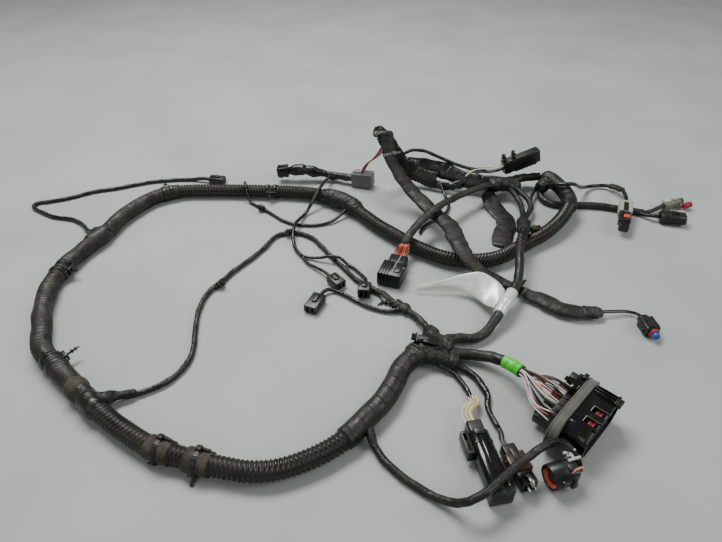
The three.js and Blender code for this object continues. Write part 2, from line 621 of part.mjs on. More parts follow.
// Bulkhead connector: an oval shroud through a grey rubber flange, round a core of terminals
const SHROUD = { width: 82, height: 38, depth: 37, radius: 18, wall: 2.6, offset: 3 };
const FLANGE = { sideRim: 8, topRim: 3, thickness: 7, radius: 20 };
const FLANGE_WIDTH = SHROUD.width + 2 * FLANGE.sideRim;
const FLANGE_HEIGHT = SHROUD.height + 2 * FLANGE.topRim;
const SHROUD_SLOT = { width: 5, depth: 20, places: [3, -18] };
const CORE = { width: 60, height: 18, depth: 30, radius: 5, slotDepth: 8 };
const CORE_SEAL = { start: 17, length: 7, thickness: 3 };
const WIRE_BLOCK = { width: 64, height: 30, depth: 25, ribWidth: 3, ribSpacing: 13 };
const bulkhead = connector([139, -231, FLANGE_HEIGHT / 2 + GAP], -45);
const backFace = -FLANGE.thickness / 2;
const shroudBody = bar(
  SHROUD.depth - backFace, SHROUD.width, SHROUD.height, SHROUD.radius, backFace, SHROUD.offset,
);
const shroudCavity = bar(
  SHROUD.depth + 1,
  SHROUD.width - 2 * SHROUD.wall,
  SHROUD.height - 2 * SHROUD.wall,
  SHROUD.radius - SHROUD.wall,
  0,
  SHROUD.offset,
);
const shroudSlots = SHROUD_SLOT.places.map((y) => block(
  SHROUD_SLOT.depth + 1, SHROUD_SLOT.width, SHROUD.height,
  SHROUD.depth - SHROUD_SLOT.depth, y, SHROUD.height / 2,
));
const latchRail = block(SHROUD.depth - 9, 11, 6, 8, 30, SHROUD.height / 2 - 1);
const coreBar = (grow) => bar(
  CORE.depth + 1, CORE.width + 2 * grow, CORE.height + 2 * grow, CORE.radius + grow,
  -1, SHROUD.offset,
);
const coreSlots = [-4, 4].flatMap((z) => [-20, -10, 0, 10, 20].map((y) => block(
  CORE.slotDepth + 1, 5, SLOT, CORE.depth - CORE.slotDepth, y + SHROUD.offset, z,
)));
add('bulkhead_shroud', fuse(
  cut(fuse(shroudBody, latchRail), shroudCavity, ...shroudSlots),
  cut(coreBar(0), ...coreSlots),
), BLACK_NYLON, bulkhead);
add('bulkhead_flange_seal', cut(
  bar(FLANGE.thickness, FLANGE_WIDTH, FLANGE_HEIGHT, FLANGE.radius, backFace),
  bar(
    FLANGE.thickness + 2, SHROUD.width + 2 * GAP, SHROUD.height + 2 * GAP,
    SHROUD.radius + GAP, backFace - 1, SHROUD.offset,
  ),
), GREY_RUBBER, bulkhead);
add('bulkhead_core_seal', cut(
  bar(
    CORE_SEAL.length, CORE.width + 2 * CORE_SEAL.thickness, CORE.height + 2 * CORE_SEAL.thickness,
    CORE.radius + CORE_SEAL.thickness, CORE_SEAL.start, SHROUD.offset,
  ),
  coreBar(GAP),
), RED_PLASTIC, bulkhead);
const blockStart = backFace - GAP - WIRE_BLOCK.depth;
const blockRibs = [-2, -1, 0, 1, 2].map((step) => block(
  WIRE_BLOCK.depth - 6, WIRE_BLOCK.ribWidth, WIRE_BLOCK.height + 4,
  blockStart + 6, step * WIRE_BLOCK.ribSpacing + 4,
));
add('bulkhead_wire_block', fuse(
  bar(WIRE_BLOCK.depth, WIRE_BLOCK.width, WIRE_BLOCK.height, 4, blockStart, 4),
  block(12, 22, 12, blockStart + 8, 24, WIRE_BLOCK.height / 2 + 1),
  ...blockRibs,
), BLACK_NYLON, bulkhead);

// The wires between the green tape and the wire block, spread like a fan
const leadGEnd = new Stretch(new Route(LEAD_G, 1), 0, 0, UP);
const fanStart = leadGEnd.getPointAt(1);
const fanDirection = leadGEnd.getTangentAt(1);
const fanTurn = new THREE.Quaternion().setFromUnitVectors(
  new THREE.Vector3(1, 0, 0), fanDirection,
);
const fanNeckLength = 4;
const fanNeck = rod(LEAD_G_DIA - 1, fanNeckLength, GAP, 0, 0, 12).applyQuaternion(fanTurn)
  .translate(...fanStart);
const fanWires = [-22, -11, 0, 11, 22, 33].map((y, i) => {
  const spread = (i - 2.5) * 1.4;
  const start = fanStart.clone().addScaledVector(fanDirection, fanNeckLength - 1);
  const near = start.clone().addScaledVector(fanDirection, 9);
  return [
    [start.x + spread * 0.7, start.y + spread * 0.7, start.z],
    [near.x + spread, near.y + spread, near.z],
    placeOn(bulkhead, blockStart - 10, y, 3 * (i % 2)),
    placeOn(bulkhead, blockStart - GAP, y, 3 * (i % 2)),
  ];
});
add('bulkhead_wires', fuse(
  fanNeck, ...fanWires.map((points) => tube(points, 0, 0, WIRE_DIA)),
), WIRE_MIX);

// In-line connector that lies along the front
const INLINE = { length: 84, width: 22, height: 23 };
const inline = connectorAfter(FUSE_WIRES);
add('inline_connector', fuse(
  bar(18, 17, 18, 3, GAP),
  bar(INLINE.length - 20, INLINE.width, INLINE.height, 6, 14),
  bar(9, INLINE.width + 2, INLINE.height, 3, INLINE.length - 9),
  cut(
    block(27, 8, 14, 10, -INLINE.width / 2 - 3),
    block(22, 2.6, 16, 8, -INLINE.width / 2 - 4),
  ),
), BLACK_NYLON, inline);

// Connector with a blade contact and an open mouth
const BLADE = { length: 46, width: 22, height: 19, mouth: 16 };
const blade = connectorAfter(BLADE_WIRES);
add('blade_connector', fuse(
  bar(16, 15, 14, 2, GAP),
  bar(BLADE.length - BLADE.mouth - 10, BLADE.width, BLADE.height, 3, 12),
  bar(BLADE.mouth, BLADE.width - 5, BLADE.height - 4, 3, BLADE.length - BLADE.mouth),
  block(14, 7, 4, 8, 0, BLADE.height / 2),
  rod(4, 8, BLADE.length - 1, 3, 2, 8),
), BLACK_NYLON, blade);

// Round connector: a socket with a red ring seal, and a grey retaining clip behind
const ROUND = {
  outer: 27, bore: 22, core: 14, depth: 15, back: 16,
};
const ROUND_AHEAD = 26.16;
const ROUND_CLEAR = 24.76;
const roundPlace = placeOn(bulkhead, ROUND_AHEAD, -SHROUD.width / 2 - ROUND_CLEAR, 0);
const round = connector([roundPlace[0], roundPlace[1], ROUND.outer / 2 + GAP], 198);
add('round_connector', fuse(
  cut(rod(ROUND.outer, ROUND.depth + 4, -4), rod(ROUND.bore, ROUND.depth + 1)),
  rod(ROUND.core, ROUND.depth - 3, -1),
  bar(ROUND.back, 22, 20, 4, -ROUND.back - 2),
), BLACK_NYLON, round);
add('round_connector_seal', ring(ROUND.core + 5, ROUND.core + 2 * GAP, 3.5, 4), RED_PLASTIC, round);
add('round_connector_clip', cut(
  block(15, 2.4, 13, -ROUND.back - 4, -11 - GAP - 1.2, 6),
  block(5, 4, 5, -ROUND.back + 1, -11 - GAP - 1.2, 6),
), GREY_PLASTIC, round);

add('lead_i', fuse(
  tube(LEAD_I, NECK.i + GAP, 0, LEAD_I_DIA),
  tube([
    endOf(LEAD_I), [113, -273, 32], [127, -277, 30], [136, -283, 23],
    placeOn(round, -ROUND.back - 10, 0, 1),
    placeOn(round, -ROUND.back - 2 - GAP, 0, 0),
  ], 0, 0, WIRE_DIA),
), VINYL_TAPE);

// Signal plug on two wires, with a red seal and a blue core
const SIGNAL = { length: 22, width: 18, height: 16, tower: 6 };
const signal = connector([284, -75, SIGNAL.height / 2 + GAP], -84);
add('signal_plug', fuse(
  bar(SIGNAL.length, SIGNAL.width, SIGNAL.height, 3),
  bar(SIGNAL.tower + 2, 12, 10, 2, -SIGNAL.tower),
  block(14, 6, 3, 4, 0, SIGNAL.height / 2 + 0.4),
), BLACK_NYLON, signal);
add('signal_plug_core', rod(9, 9, SIGNAL.length + GAP), BLUE_PLASTIC, signal);
add('signal_plug_seal', ring(13, 9 + 2 * GAP, 3, SIGNAL.length + GAP), RED_PLASTIC, signal);

// Many-pin connector at the end of the flat lead
const MULTI = { length: 54, width: 35, height: 22 };
const multi = connector([-26, 52, MULTI.height / 2 + 1], -110);
const terminalSlots = (x, width, rows) => {
  const count = Math.floor(width / (2 * SLOT)) - 1;
  return Array.from({ length: count }, (_, i) => (
    block(6, SLOT, rows, x, (i - (count - 1) / 2) * 2 * SLOT)
  ));
};
add('multi_connector', cut(
  fuse(
    bar(26, 26, 16, 2),
    bar(MULTI.length - 22, MULTI.width, MULTI.height, 3, 22),
    block(18, 9, 3, 28, 0, MULTI.height / 2 + 1),
  ),
  ...terminalSlots(MULTI.length - 5, MULTI.width, MULTI.height - 10),
), BLACK_NYLON, multi);
const leadMEnd = endOf(LEAD_M);
add('lead_m', fuse(
  tube(LEAD_M, NECK.m + GAP, 0, LEAD_M_WIDTH, LEAD_M_THICKNESS),
  ...[-8, -3, 3, 8].map((y) => tube([
    [leadMEnd[0] + y * 0.3, leadMEnd[1] + 2, leadMEnd[2] + 1],
    placeOn(multi, -6, y, 1),
    placeOn(multi, -GAP, y, 0),
  ], 0, 0, WIRE_DIA)),
), CLOTH_TAPE);

// Rear many-pin connector, propped on the tangle, with two fir-tree studs
const REAR = { length: 68, width: 16, height: 24 };
const rear = connectorAfter(MULTI_WIRES);
add('rear_connector', fuse(
  cut(
    bar(REAR.length, REAR.width, REAR.height, 2),
    block(7, REAR.width - 6, SLOT, REAR.length - 6, 0, 5),
    block(7, REAR.width - 6, SLOT, REAR.length - 6, 0, 0),
    block(7, REAR.width - 6, SLOT, REAR.length - 6, 0, -5),
  ),
  block(REAR.length - 26, 4, 5, 18, -REAR.width / 2, -REAR.height / 2 + 3),
  firTree(13, 8).rotateX(Math.PI / 2).translate(4, 0, REAR.height / 2 - 1),
  firTree(13, 8).rotateX(Math.PI / 2).translate(20, 0, REAR.height / 2 - 1),
), BLACK_NYLON, rear);

// Plug at the left end of the rear bundle, and the grey connector behind the strap
const rearPlug = connectorAfter(reversed(PLUG_LEAD));
add('rear_plug', fuse(
  bar(20, 16, 19, 2, GAP),
  block(12, 6, 4, 6, 0, 10),
  block(4, 4, 6, 14, 0, -11),
), BLACK_NYLON, rearPlug);
const GREY = { length: 38, width: 22, height: 26 };
const grey = connectorAfter(GREY_LEAD);
add('grey_connector', fuse(
  bar(GREY.length, GREY.width, GREY.height, 2, GAP),
  block(16, 14, 6, 3, 0, GREY.height / 2 + 2),
), GREY_PLASTIC, grey);

// Right-hand plug: a clear cover, a black body and an orange lock
const LOCKED = { width: 21, height: 16 };
const locked = connectorAfter(RIGHT_THIN);
add('locked_plug_cover', bar(32, LOCKED.width, LOCKED.height, 3, GAP), WHITE_PLASTIC, locked);
add('locked_plug', cut(
  bar(42, LOCKED.width - 3, LOCKED.height - 2, 3, 32 + 2 * GAP),
  block(10, 12, 5, 44, 0, LOCKED.height / 2 - 1),
), BLACK_NYLON, locked);
add('locked_plug_lock', block(
  10 - 2 * GAP, 12 - 2 * GAP, 5, 44 + GAP, 0, LOCKED.height / 2 - 1 + GAP,
), ORANGE_PLASTIC, locked);

// The two pieces on the far right
const capped = connectorAfter(RIGHT_UPPER);
const CAPPED_LENGTH = 26;
const CAPPED_WIDTH = 15;
const RED_PLUG_DIA = 10;
add('capped_plug', bar(CAPPED_LENGTH, CAPPED_WIDTH, 14, 3, GAP), WHITE_PLASTIC, capped);
add('capped_plug_cap', rod(10, 10, CAPPED_LENGTH + 2 * GAP, 2, 0, 12), GREEN_PLASTIC, capped);
const redPlugOffset = -(CAPPED_WIDTH + RED_PLUG_DIA) / 2 - GAP;
add('red_plug', rod(RED_PLUG_DIA, 16, 24, redPlugOffset, 0, 12), RED_PLASTIC, capped);
const dark = connectorAfter(RIGHT_LOWER);
add('dark_plug', bar(38, 24, 17, 7, GAP), BLACK_NYLON, dark);

// Small two-pin plugs
function smallPlug(name, lead, length, width, height) {
  const group = connectorAfter(lead);
  add(name, cut(
    fuse(
      bar(length, width, height, 2, GAP),
      block(length * 0.5, 5, 2.4, 2, 0, height / 2 + 0.8),
    ),
    block(6, SLOT, height - 6, length - 4, width / 5),
    block(6, SLOT, height - 6, length - 4, -width / 5),
  ), BLACK_NYLON, group);
}
smallPlug('lead_a_plug', LEAD_A, 28, 16, 12);
smallPlug('lead_c_plug', LEAD_C_PLUG, 24, 17, 12);
smallPlug('lead_d_plug', LEAD_D, 30, 19, 12);
smallPlug('lead_c_box', LEAD_C_OVER, 18, 17, 16);

// Ties
const STRAP_TIE_WIDTH = 5;
function strapTie(name, at, material) {
  const half = STRAP_TIE_WIDTH / 2;
  const grown = GAP + TIE_THICKNESS;
  add(name, cut(
    tube(STRAP_FRONT, at - half, at + half, STRAP_WIDTH, STRAP_THICKNESS, UP, grown),
    tube(STRAP_FRONT, 0, 0, STRAP_WIDTH, STRAP_THICKNESS, UP, GAP),
  ), material);
}
strapTie('strap_tie', 40, GREY_PLASTIC);
strapTie('sleeve_tie', 392, BLACK_NYLON);

export default harness;
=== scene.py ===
# %% [markdown]
# # A used vehicle wiring harness, laid out in a loop
# The CAD model gives every piece its place and size. This script gives the pieces their looks:
# corrugated conduit, wound tape, single wires, moulded connectors and the dust of a used part.

# %% Load the frame
import json
import math

import bmesh
import bpy
import numpy as np
from mathutils import Matrix, Vector

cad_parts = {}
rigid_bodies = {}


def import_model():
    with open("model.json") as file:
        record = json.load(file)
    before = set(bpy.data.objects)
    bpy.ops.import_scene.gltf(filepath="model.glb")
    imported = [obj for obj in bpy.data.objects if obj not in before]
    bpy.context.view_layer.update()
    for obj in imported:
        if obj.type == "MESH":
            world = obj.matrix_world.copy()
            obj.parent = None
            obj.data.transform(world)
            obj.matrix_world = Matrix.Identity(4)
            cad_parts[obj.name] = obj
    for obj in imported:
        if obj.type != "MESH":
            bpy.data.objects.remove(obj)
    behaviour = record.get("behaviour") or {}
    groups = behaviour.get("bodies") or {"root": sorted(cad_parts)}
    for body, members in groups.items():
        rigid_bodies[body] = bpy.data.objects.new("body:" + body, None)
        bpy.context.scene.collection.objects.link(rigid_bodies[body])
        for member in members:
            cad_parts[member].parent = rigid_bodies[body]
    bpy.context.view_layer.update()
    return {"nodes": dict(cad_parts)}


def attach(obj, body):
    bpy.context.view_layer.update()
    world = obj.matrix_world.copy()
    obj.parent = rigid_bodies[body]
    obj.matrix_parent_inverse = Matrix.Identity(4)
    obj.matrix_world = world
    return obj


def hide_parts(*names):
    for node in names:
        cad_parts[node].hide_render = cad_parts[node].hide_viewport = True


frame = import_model()
print("frame:", len(frame["nodes"]), "nodes")

# %% [markdown]
# ## Camera and light
# The photograph looks down on the harness at about 38 degrees, through a short lens, in soft
# light. One strong lamp could light it too, but black tape would show hard spots. Three large
# soft lamps give broad, calm highlights and soft shadows, as a bright room does.

# %% Camera and light
camera = bpy.data.objects.new("camera", bpy.data.cameras.new("camera"))
camera.data.lens = 26.93
camera.data.sensor_width = 36.0
camera.location = (-0.0016, -0.5783, 0.492)
camera.rotation_euler = (math.radians(51.73), 0.0, 0.0)
bpy.context.scene.collection.objects.link(camera)
bpy.context.scene.camera = camera


def softbox(name, place, aim, size, power):
    """A large square lamp at place that points at aim"""
    lamp = bpy.data.lights.new(name, "AREA")
    lamp.shape = "RECTANGLE"
    lamp.size, lamp.size_y = size
    lamp.energy = power
    held = bpy.data.objects.new(name, lamp)
    held.location = place
    held.rotation_euler = (Vector(aim) - Vector(place)).to_track_quat("-Z", "Y").to_euler()
    bpy.context.scene.collection.objects.link(held)


softbox("ceiling_light", (-0.5, 0.9, 1.9), (0.0, 0.0, 0.0), (1.5, 0.7), 56)
softbox("window_light", (1.9, -0.4, 1.5), (0.1, 0.0, 0.0), (0.9, 1.2), 20)
softbox("fill_light", (-0.9, -1.9, 1.3), (0.0, 0.0, 0.0), (1.8, 1.2), 9)

world = bpy.data.worlds.new("studio")
world.use_nodes = True
world.node_tree.nodes["Background"].inputs["Color"].default_value = (0.86, 0.88, 0.9, 1.0)
world.node_tree.nodes["Background"].inputs["Strength"].default_value = 0.26
bpy.context.scene.world = world
print("camera lens:", round(camera.data.lens, 2), "mm")

# %% [markdown]
# ## Materials
# Every material starts as a plain shader, and noise, tape turns, weave and dust are added as
# nodes. The swept pieces carry two maps: "turns" counts metres along and turns round, for tape
# edges, and "cloth" is in metres both ways, for weave. Pictures wrapped round the leads could do
# the same, but nodes stay sharp from near by, and their patterns follow real sizes.

# %% A surface is built from nodes
def srgb(code):
    """A colour as a painter names it, #rrggbb, as the shader wants it"""
    values = [int(code[i:i + 2], 16) / 255 for i in (1, 3, 5)]
    return [v / 12.92 if v <= 0.04045 else ((v + 0.055) / 1.055) ** 2.4 for v in values] + [1.0]


class Surface:
    """A node material, with short names for the nodes that most surfaces need"""

    def __init__(self, name, color, roughness, metallic=0.0):
        self.material = bpy.data.materials.new(name)
        self.material.use_nodes = True
        self.tree = self.material.node_tree
        self.shader = self.tree.nodes["Principled BSDF"]
        self.shader.inputs["Roughness"].default_value = roughness
        self.shader.inputs["Metallic"].default_value = metallic
        self.color = srgb(color)
        self.roughness = roughness
        self.height = 0.0

    def add(self, kind, inputs=None, **settings):
        """A node with its settings and inputs, where an input is a value or another socket"""
        made = self.tree.nodes.new(kind)
        for key, value in settings.items():
            setattr(made, key, value)
        for key, value in (inputs or {}).items():
            if isinstance(value, bpy.types.NodeSocket):
                self.tree.links.new(value, made.inputs[key])
            else:
                made.inputs[key].default_value = value
        return made

    def calc(self, operation, *values):
        settings = {i: value for i, value in enumerate(values)}
        return self.add("ShaderNodeMath", settings, operation=operation).outputs[0]

    def span(self, value, low, high, start=0.0, end=1.0):
        """value, from low to high, turned into a number that goes smoothly from start to end"""
        inputs = {"Value": value, "From Min": low, "From Max": high, "To Min": start, "To Max": end}
        return self.add("ShaderNodeMapRange", inputs, interpolation_type="SMOOTHSTEP").outputs[0]

    def mix(self, factor, first, second):
        made = self.add("ShaderNodeMix", {0: factor, 6: first, 7: second}, data_type="RGBA")
        return made.outputs[2]

    def place(self):
        return self.add("ShaderNodeTexCoord").outputs["Object"]

    def noise(self, scale, detail=3.0, place=None, distortion=0.0):
        inputs = {
            "Vector": place or self.place(), "Scale": scale, "Detail": detail,
            "Distortion": distortion,
        }
        return self.add("ShaderNodeTexNoise", inputs).outputs[0]

    def uv(self, name):
        """The two numbers of one of a swept piece's maps"""
        found = self.add("ShaderNodeUVMap", uv_map=name).outputs[0]
        parts = self.add("ShaderNodeSeparateXYZ", {0: found})
        return parts.outputs[0], parts.outputs[1]

    def upward(self):
        """How much the surface faces up, from -1 to 1"""
        normal = self.add("ShaderNodeNewGeometry").outputs["Normal"]
        return self.add("ShaderNodeSeparateXYZ", {0: normal}).outputs[2]

    def attribute(self, name):
        return self.add("ShaderNodeAttribute", attribute_name=name).outputs["Fac"]

    def raise_by(self, amount):
        """Adds to the height that the bump is made from, in metres"""
        self.height = self.calc("ADD", self.height, amount)

    def dust(self, amount, color="#8d8578", scale=45.0):
        """Dust that settles on what faces up, in patches"""
        patches = self.span(self.noise(scale, 6.0, distortion=0.6), 0.38, 0.72)
        fine = self.noise(scale * 14, 2.0)
        lying = self.span(self.upward(), -0.25, 0.95)
        layer = self.calc("MULTIPLY", self.calc("MULTIPLY", patches, lying), fine)
        factor = self.calc("MULTIPLY", layer, amount * 2.0)
        self.color = self.mix(factor, self.color, srgb(color))
        self.roughness = self.calc("ADD", self.roughness, self.calc("MULTIPLY", factor, 0.35))

    def done(self):
        for key, value in (("Base Color", self.color), ("Roughness", self.roughness)):
            if isinstance(value, bpy.types.NodeSocket):
                self.tree.links.new(value, self.shader.inputs[key])
            else:
                self.shader.inputs[key].default_value = value
        if isinstance(self.height, bpy.types.NodeSocket):
            bump = self.add("ShaderNodeBump", {"Height": self.height, "Distance": 1.0})
            self.tree.links.new(bump.outputs[0], self.shader.inputs["Normal"])
        return self.material

# %% [markdown]
# ## Wound tape
# The leads are wrapped in matt cloth tape and in shinier vinyl tape, turn over turn. Each turn
# could be modelled, but there are hundreds of them. So the edge of every turn, the weave and the
# wrinkles are drawn as height for the bump, and only the larger bulges are in the mesh. One turn
# climbs 9 to 30 mm along its lead. A thread of the weave is drawn 1.1 mm wide, coarser than real
# cloth, because it wouldn't show otherwise.

# %% Wound tape
def wound_tape(name, color, light, roughness, pitch, step, weave, dust, wrinkle=0.00016):
    """Spiral tape: an edge at every turn, painted shade at its foot, wrinkles across it, its weave
    """
    tape = Surface(name, color, roughness)
    along, turn = tape.uv("turns")
    wander = tape.calc("MULTIPLY", tape.noise(26.0, 2.0), 0.35)
    turns = tape.calc("ADD", tape.calc("ADD", tape.calc("DIVIDE", along, pitch), turn), wander)
    share = tape.calc("FRACT", turns)
    edge = tape.span(share, 0.0, 0.10)
    tape.raise_by(tape.calc("MULTIPLY", edge, step))
    tape.raise_by(tape.calc("MULTIPLY", share, -step))
    creases = tape.noise(150.0, 4.0, distortion=1.2)
    tape.raise_by(tape.calc("MULTIPLY", creases, wrinkle * 2.0))
    tape.raise_by(tape.calc("MULTIPLY", tape.noise(620.0, 2.0), wrinkle * 0.5))
    if weave:
        run, across = tape.uv("cloth")
        warp = tape.calc("SINE", tape.calc("MULTIPLY", run, 2 * math.pi / weave))
        weft = tape.calc("SINE", tape.calc("MULTIPLY", across, 2 * math.pi / weave))
        tape.raise_by(tape.calc("MULTIPLY", tape.calc("MULTIPLY", warp, weft), 0.00003))
    patches = tape.span(tape.noise(22.0, 6.0), 0.4, 0.75)
    tape.color = tape.mix(patches, srgb(color), srgb(light))
    # painted shade: a dark line at the foot of each turn's raised edge, where the lap shades the
    # tape
    line = tape.calc("MULTIPLY", tape.span(share, 0.16, 0.0), 0.55)
    tape.color = tape.mix(line, tape.color, srgb("#050505"))
    worn = tape.calc("MULTIPLY", tape.span(creases, 0.55, 0.75), 0.25)
    tape.color = tape.mix(worn, tape.color, srgb(light))
    shine = tape.span(tape.noise(75.0, 4.0), 0.35, 0.7, -0.16, 0.14)
    tape.roughness = tape.calc("ADD", shine, roughness)
    tape.dust(dust, "#6a6358")
    return tape.done()


# woven cloth tape: matt black, with a raised edge at every turn
cloth_tape = wound_tape(
    "black cloth tape", "#0a0a09", "#191715", 0.50, 0.017, 0.00050, 0.0011, 0.10, 0.00034)
# the same tape after long use: browner, with dust lying on what faces up
dusty_tape = wound_tape(
    "dusty black cloth tape", "#100e0c", "#27221c", 0.52, 0.021, 0.00050, 0.0012, 0.24, 0.00040)
# fabric tape round the flat strap: dull, warm and a little rough
brown_tape = wound_tape(
    "brown-black fabric tape", "#110e0c", "#261e19", 0.60, 0.015, 0.00044, 0.0011, 0.14, 0.00034)
# cloth tape bunched up at the forks: short turns, creases that catch the light
crumpled_tape = wound_tape(
    "crumpled cloth tape", "#0a0a0a", "#191817", 0.44, 0.009, 0.00070, 0.0011, 0.10, 0.00080)
# fleece tape under the clamp bands: paler than the rest, and quite dull
band_tape = wound_tape(
    "grey-brown fleece tape", "#2a231c", "#463c31", 0.8, 0.018, 0.00030, 0.0012, 0.30)
# smooth PVC tape: no weave, and a soft shine that runs along the lead
vinyl_tape = wound_tape(
    "black PVC tape", "#080808", "#131312", 0.32, 0.013, 0.00040, 0, 0.08, 0.00036)
# the same in bright green, wound tight and smooth
green_tape = wound_tape(
    "bright green PVC tape", "#3fc622", "#6be04b", 0.38, 0.012, 0.00018, 0, 0.08)
print("materials so far:", len(bpy.data.materials))

# %% [markdown]
# ## Corrugated conduit
# Ribbed polyamide tube holds most of the wires. Its ribs are real geometry, made with the trunk
# below, so the finish only has to tell a crest from a groove. Noise can't do that. The mesh
# carries a number called "groove" instead, and dirt and shine follow it.

# %% Corrugated conduit
def corrugated(name):
    """Split corrugated polyamide conduit: dark crests, dust in the grooves"""
    made = Surface(name, "#171615", 0.46)
    groove = made.attribute("groove")
    patches = made.span(made.noise(14.0, 5.0), 0.3, 0.7)
    dirt = made.calc("MULTIPLY", groove, made.span(patches, 0.0, 1.0, 0.45, 0.95))
    made.color = made.mix(dirt, srgb("#090909"), srgb("#1f1a15"))
    made.roughness = made.span(dirt, 0.0, 1.0, 0.24, 0.75)
    made.raise_by(made.calc("MULTIPLY", made.noise(700.0, 3.0), 0.00006))
    made.dust(0.10, "#6f6557", 30.0)
    return made.done()


# extruded polyamide: the rubbed crests shine, and dirt dulls the grooves
conduit = corrugated("corrugated polyamide")
print("materials so far:", len(bpy.data.materials))

# %% [markdown]
# ## Moulded plastics
# Connectors, clips and ties are injection-moulded polyamide. Their shine comes from the mould,
# with a fine grain, and their corners are rubbed paler by handling. Noise alone would scatter
# that wear everywhere. The bevelled faces carry a number called "edge", and the wear follows it.

# %% Moulded plastics
def moulded(name, color, roughness=0.42, dust=0.25, grain=0.00002, worn="#3a3a38"):
    """Injection-moulded plastic: a fine grain, paler worn edges and a little dust"""
    made = Surface(name, color, roughness)
    tone = made.noise(30.0, 4.0)
    made.roughness = made.span(tone, 0.3, 0.7, roughness - 0.07, roughness + 0.1)
    made.raise_by(made.calc("MULTIPLY", made.noise(900.0, 2.0), grain))
    made.raise_by(made.calc("MULTIPLY", made.noise(60.0, 2.0), 0.00004))
    rub = made.calc("MULTIPLY", made.attribute("edge"), made.span(made.noise(160.0), 0.4, 0.62))
    made.color = made.mix(made.calc("MULTIPLY", rub, 0.45), srgb(color), srgb(worn))
    made.dust(dust)
    return made.done()


# polyamide with a fine grain: satin black, with soft highlights
black_nylon = moulded("black nylon", "#0b0b0b", 0.36, 0.09)
# the same from a polished mould: clear reflections, and hardly any dust
glossy_nylon = moulded("glossy black nylon", "#070707", 0.16, 0.03)
# mid grey polyamide: dull, and whitish where it is rubbed
grey_nylon = moulded("grey nylon", "#5c5e5e", 0.5, 0.2, worn="#8f908d")
# pale latches and clips: every edge shows by its shadow
pale_nylon = moulded("pale grey nylon", "#b4b4ae", 0.45, 0.2, worn="#d5d5d0")
# the core of the signal plug: a clear blue between two red seals
blue_nylon = moulded("blue nylon", "#23489e", 0.4, 0.12, worn="#5a78bb")
# the lock of a plug: bright orange, satin
orange_nylon = moulded("orange nylon", "#d9511b", 0.38, 0.12, worn="#ee8a5e")
# the cap's end: a dark green, a little dusty
green_nylon = moulded("dark green nylon", "#1b4b37", 0.42, 0.15, worn="#4f7d6a")
# a small plug: deep red, paler at its corners
red_nylon = moulded("dark red nylon", "#8f1a20", 0.4, 0.12, worn="#b4575b")
print("materials so far:", len(bpy.data.materials))

# %% [markdown]
# ## Rubber, wires and metal
# The seals are moulded from soft rubber and silicone, the wires have thin PVC round them, and the
# terminals are stamped and tinned. One plain colour each would look like paint. So the rubber
# gets sheen and mottling, the wires patches of grime, and the metal a stain.

# %% Rubber, wires and metal
def soft_rubber(name, color, roughness=0.7):
    """A moulded seal: matt, slightly mottled, with a soft sheen"""
    made = Surface(name, color, roughness)
    made.shader.inputs["Sheen Weight"].default_value = 0.25
    made.raise_by(made.calc("MULTIPLY", made.noise(420.0, 4.0), 0.00006))
    mottled = made.span(made.noise(55.0, 5.0), 0.3, 0.7)
    dark = [0.75 * v for v in srgb(color)[:3]] + [1.0]
    made.color = made.mix(mottled, dark, srgb(color))
    made.dust(0.22)
    return made.done()


# the wide flange seal: matt grey-green, with the soft sheen of rubber
flange_rubber = soft_rubber("grey-green seal rubber", "#54574e")
# silicone inside a connector: strong crimson, smoother than the flange
red_silicone = soft_rubber("crimson silicone", "#a81722", 0.45)
# the same in orange-red, seen as a narrow ring
orange_silicone = soft_rubber("orange-red silicone", "#d8431f", 0.45)


def insulation(name, color):
    """Thin PVC insulation round one wire, with a faint seam of dirt"""
    made = Surface(name, color, 0.36)
    made.raise_by(made.calc("MULTIPLY", made.noise(500.0, 2.0), 0.00004))
    grime = made.span(made.noise(90.0, 4.0), 0.45, 0.8)
    made.color = made.mix(made.calc("MULTIPLY", grime, 0.3), srgb(color), srgb("#3d3a35"))
    return made.done()


# thin PVC over copper strands, in every colour: smooth, half glossy, with grime in patches
WIRES = {
    "white": insulation("white wire insulation", "#d9d8d2"),
    "black": insulation("black wire insulation", "#141414"),
    "pink": insulation("pink wire insulation", "#bf7480"),
    "orange": insulation("orange wire insulation", "#cc6a28"),
    "yellow": insulation("yellow wire insulation", "#cdb650"),
    "salmon": insulation("salmon wire insulation", "#c9826b"),
    "brown": insulation("brown wire insulation", "#5b3a28"),
    "red": insulation("red wire insulation", "#a32a2c"),
}


def metal(name, color, roughness):
    """A stamped terminal, lightly tarnished"""
    made = Surface(name, color, roughness, 1.0)
    stain = made.span(made.noise(200.0, 4.0), 0.4, 0.75)
    made.color = made.mix(made.calc("MULTIPLY", stain, 0.5), srgb(color), srgb("#5d5244"))
    return made.done()


# tinned and stamped: a dull silver with brownish stains
tinned = metal("tinned terminal", "#b9b7ae", 0.32)
print("materials so far:", len(bpy.data.materials))

# %% [markdown]
# ## Film and clear covers
# The label is a metallised film, one plug sits in a milky sleeve, and one housing is brown and
# see-through. Glass would be too clear for the covers. So only part of the light goes through
# them, and a fine bump blurs what is behind.

# %% Film and clear covers
def label_film(name):
    """Plain silvery film: a satin sheen over faint wrinkles"""
    made = Surface(name, "#e4e5e0", 0.3)
    made.shader.inputs["Metallic"].default_value = 0.25
    made.raise_by(made.calc("MULTIPLY", made.noise(90.0, 4.0, distortion=0.8), 0.0004))
    smudge = made.span(made.noise(30.0, 4.0), 0.45, 0.8)
    made.color = made.mix(made.calc("MULTIPLY", smudge, 0.35), srgb("#e8e9e4"), srgb("#a3a49f"))
    return made.done()


# metallised plastic film: bright, with a satin sheen
silver_film = label_film("silver label film")


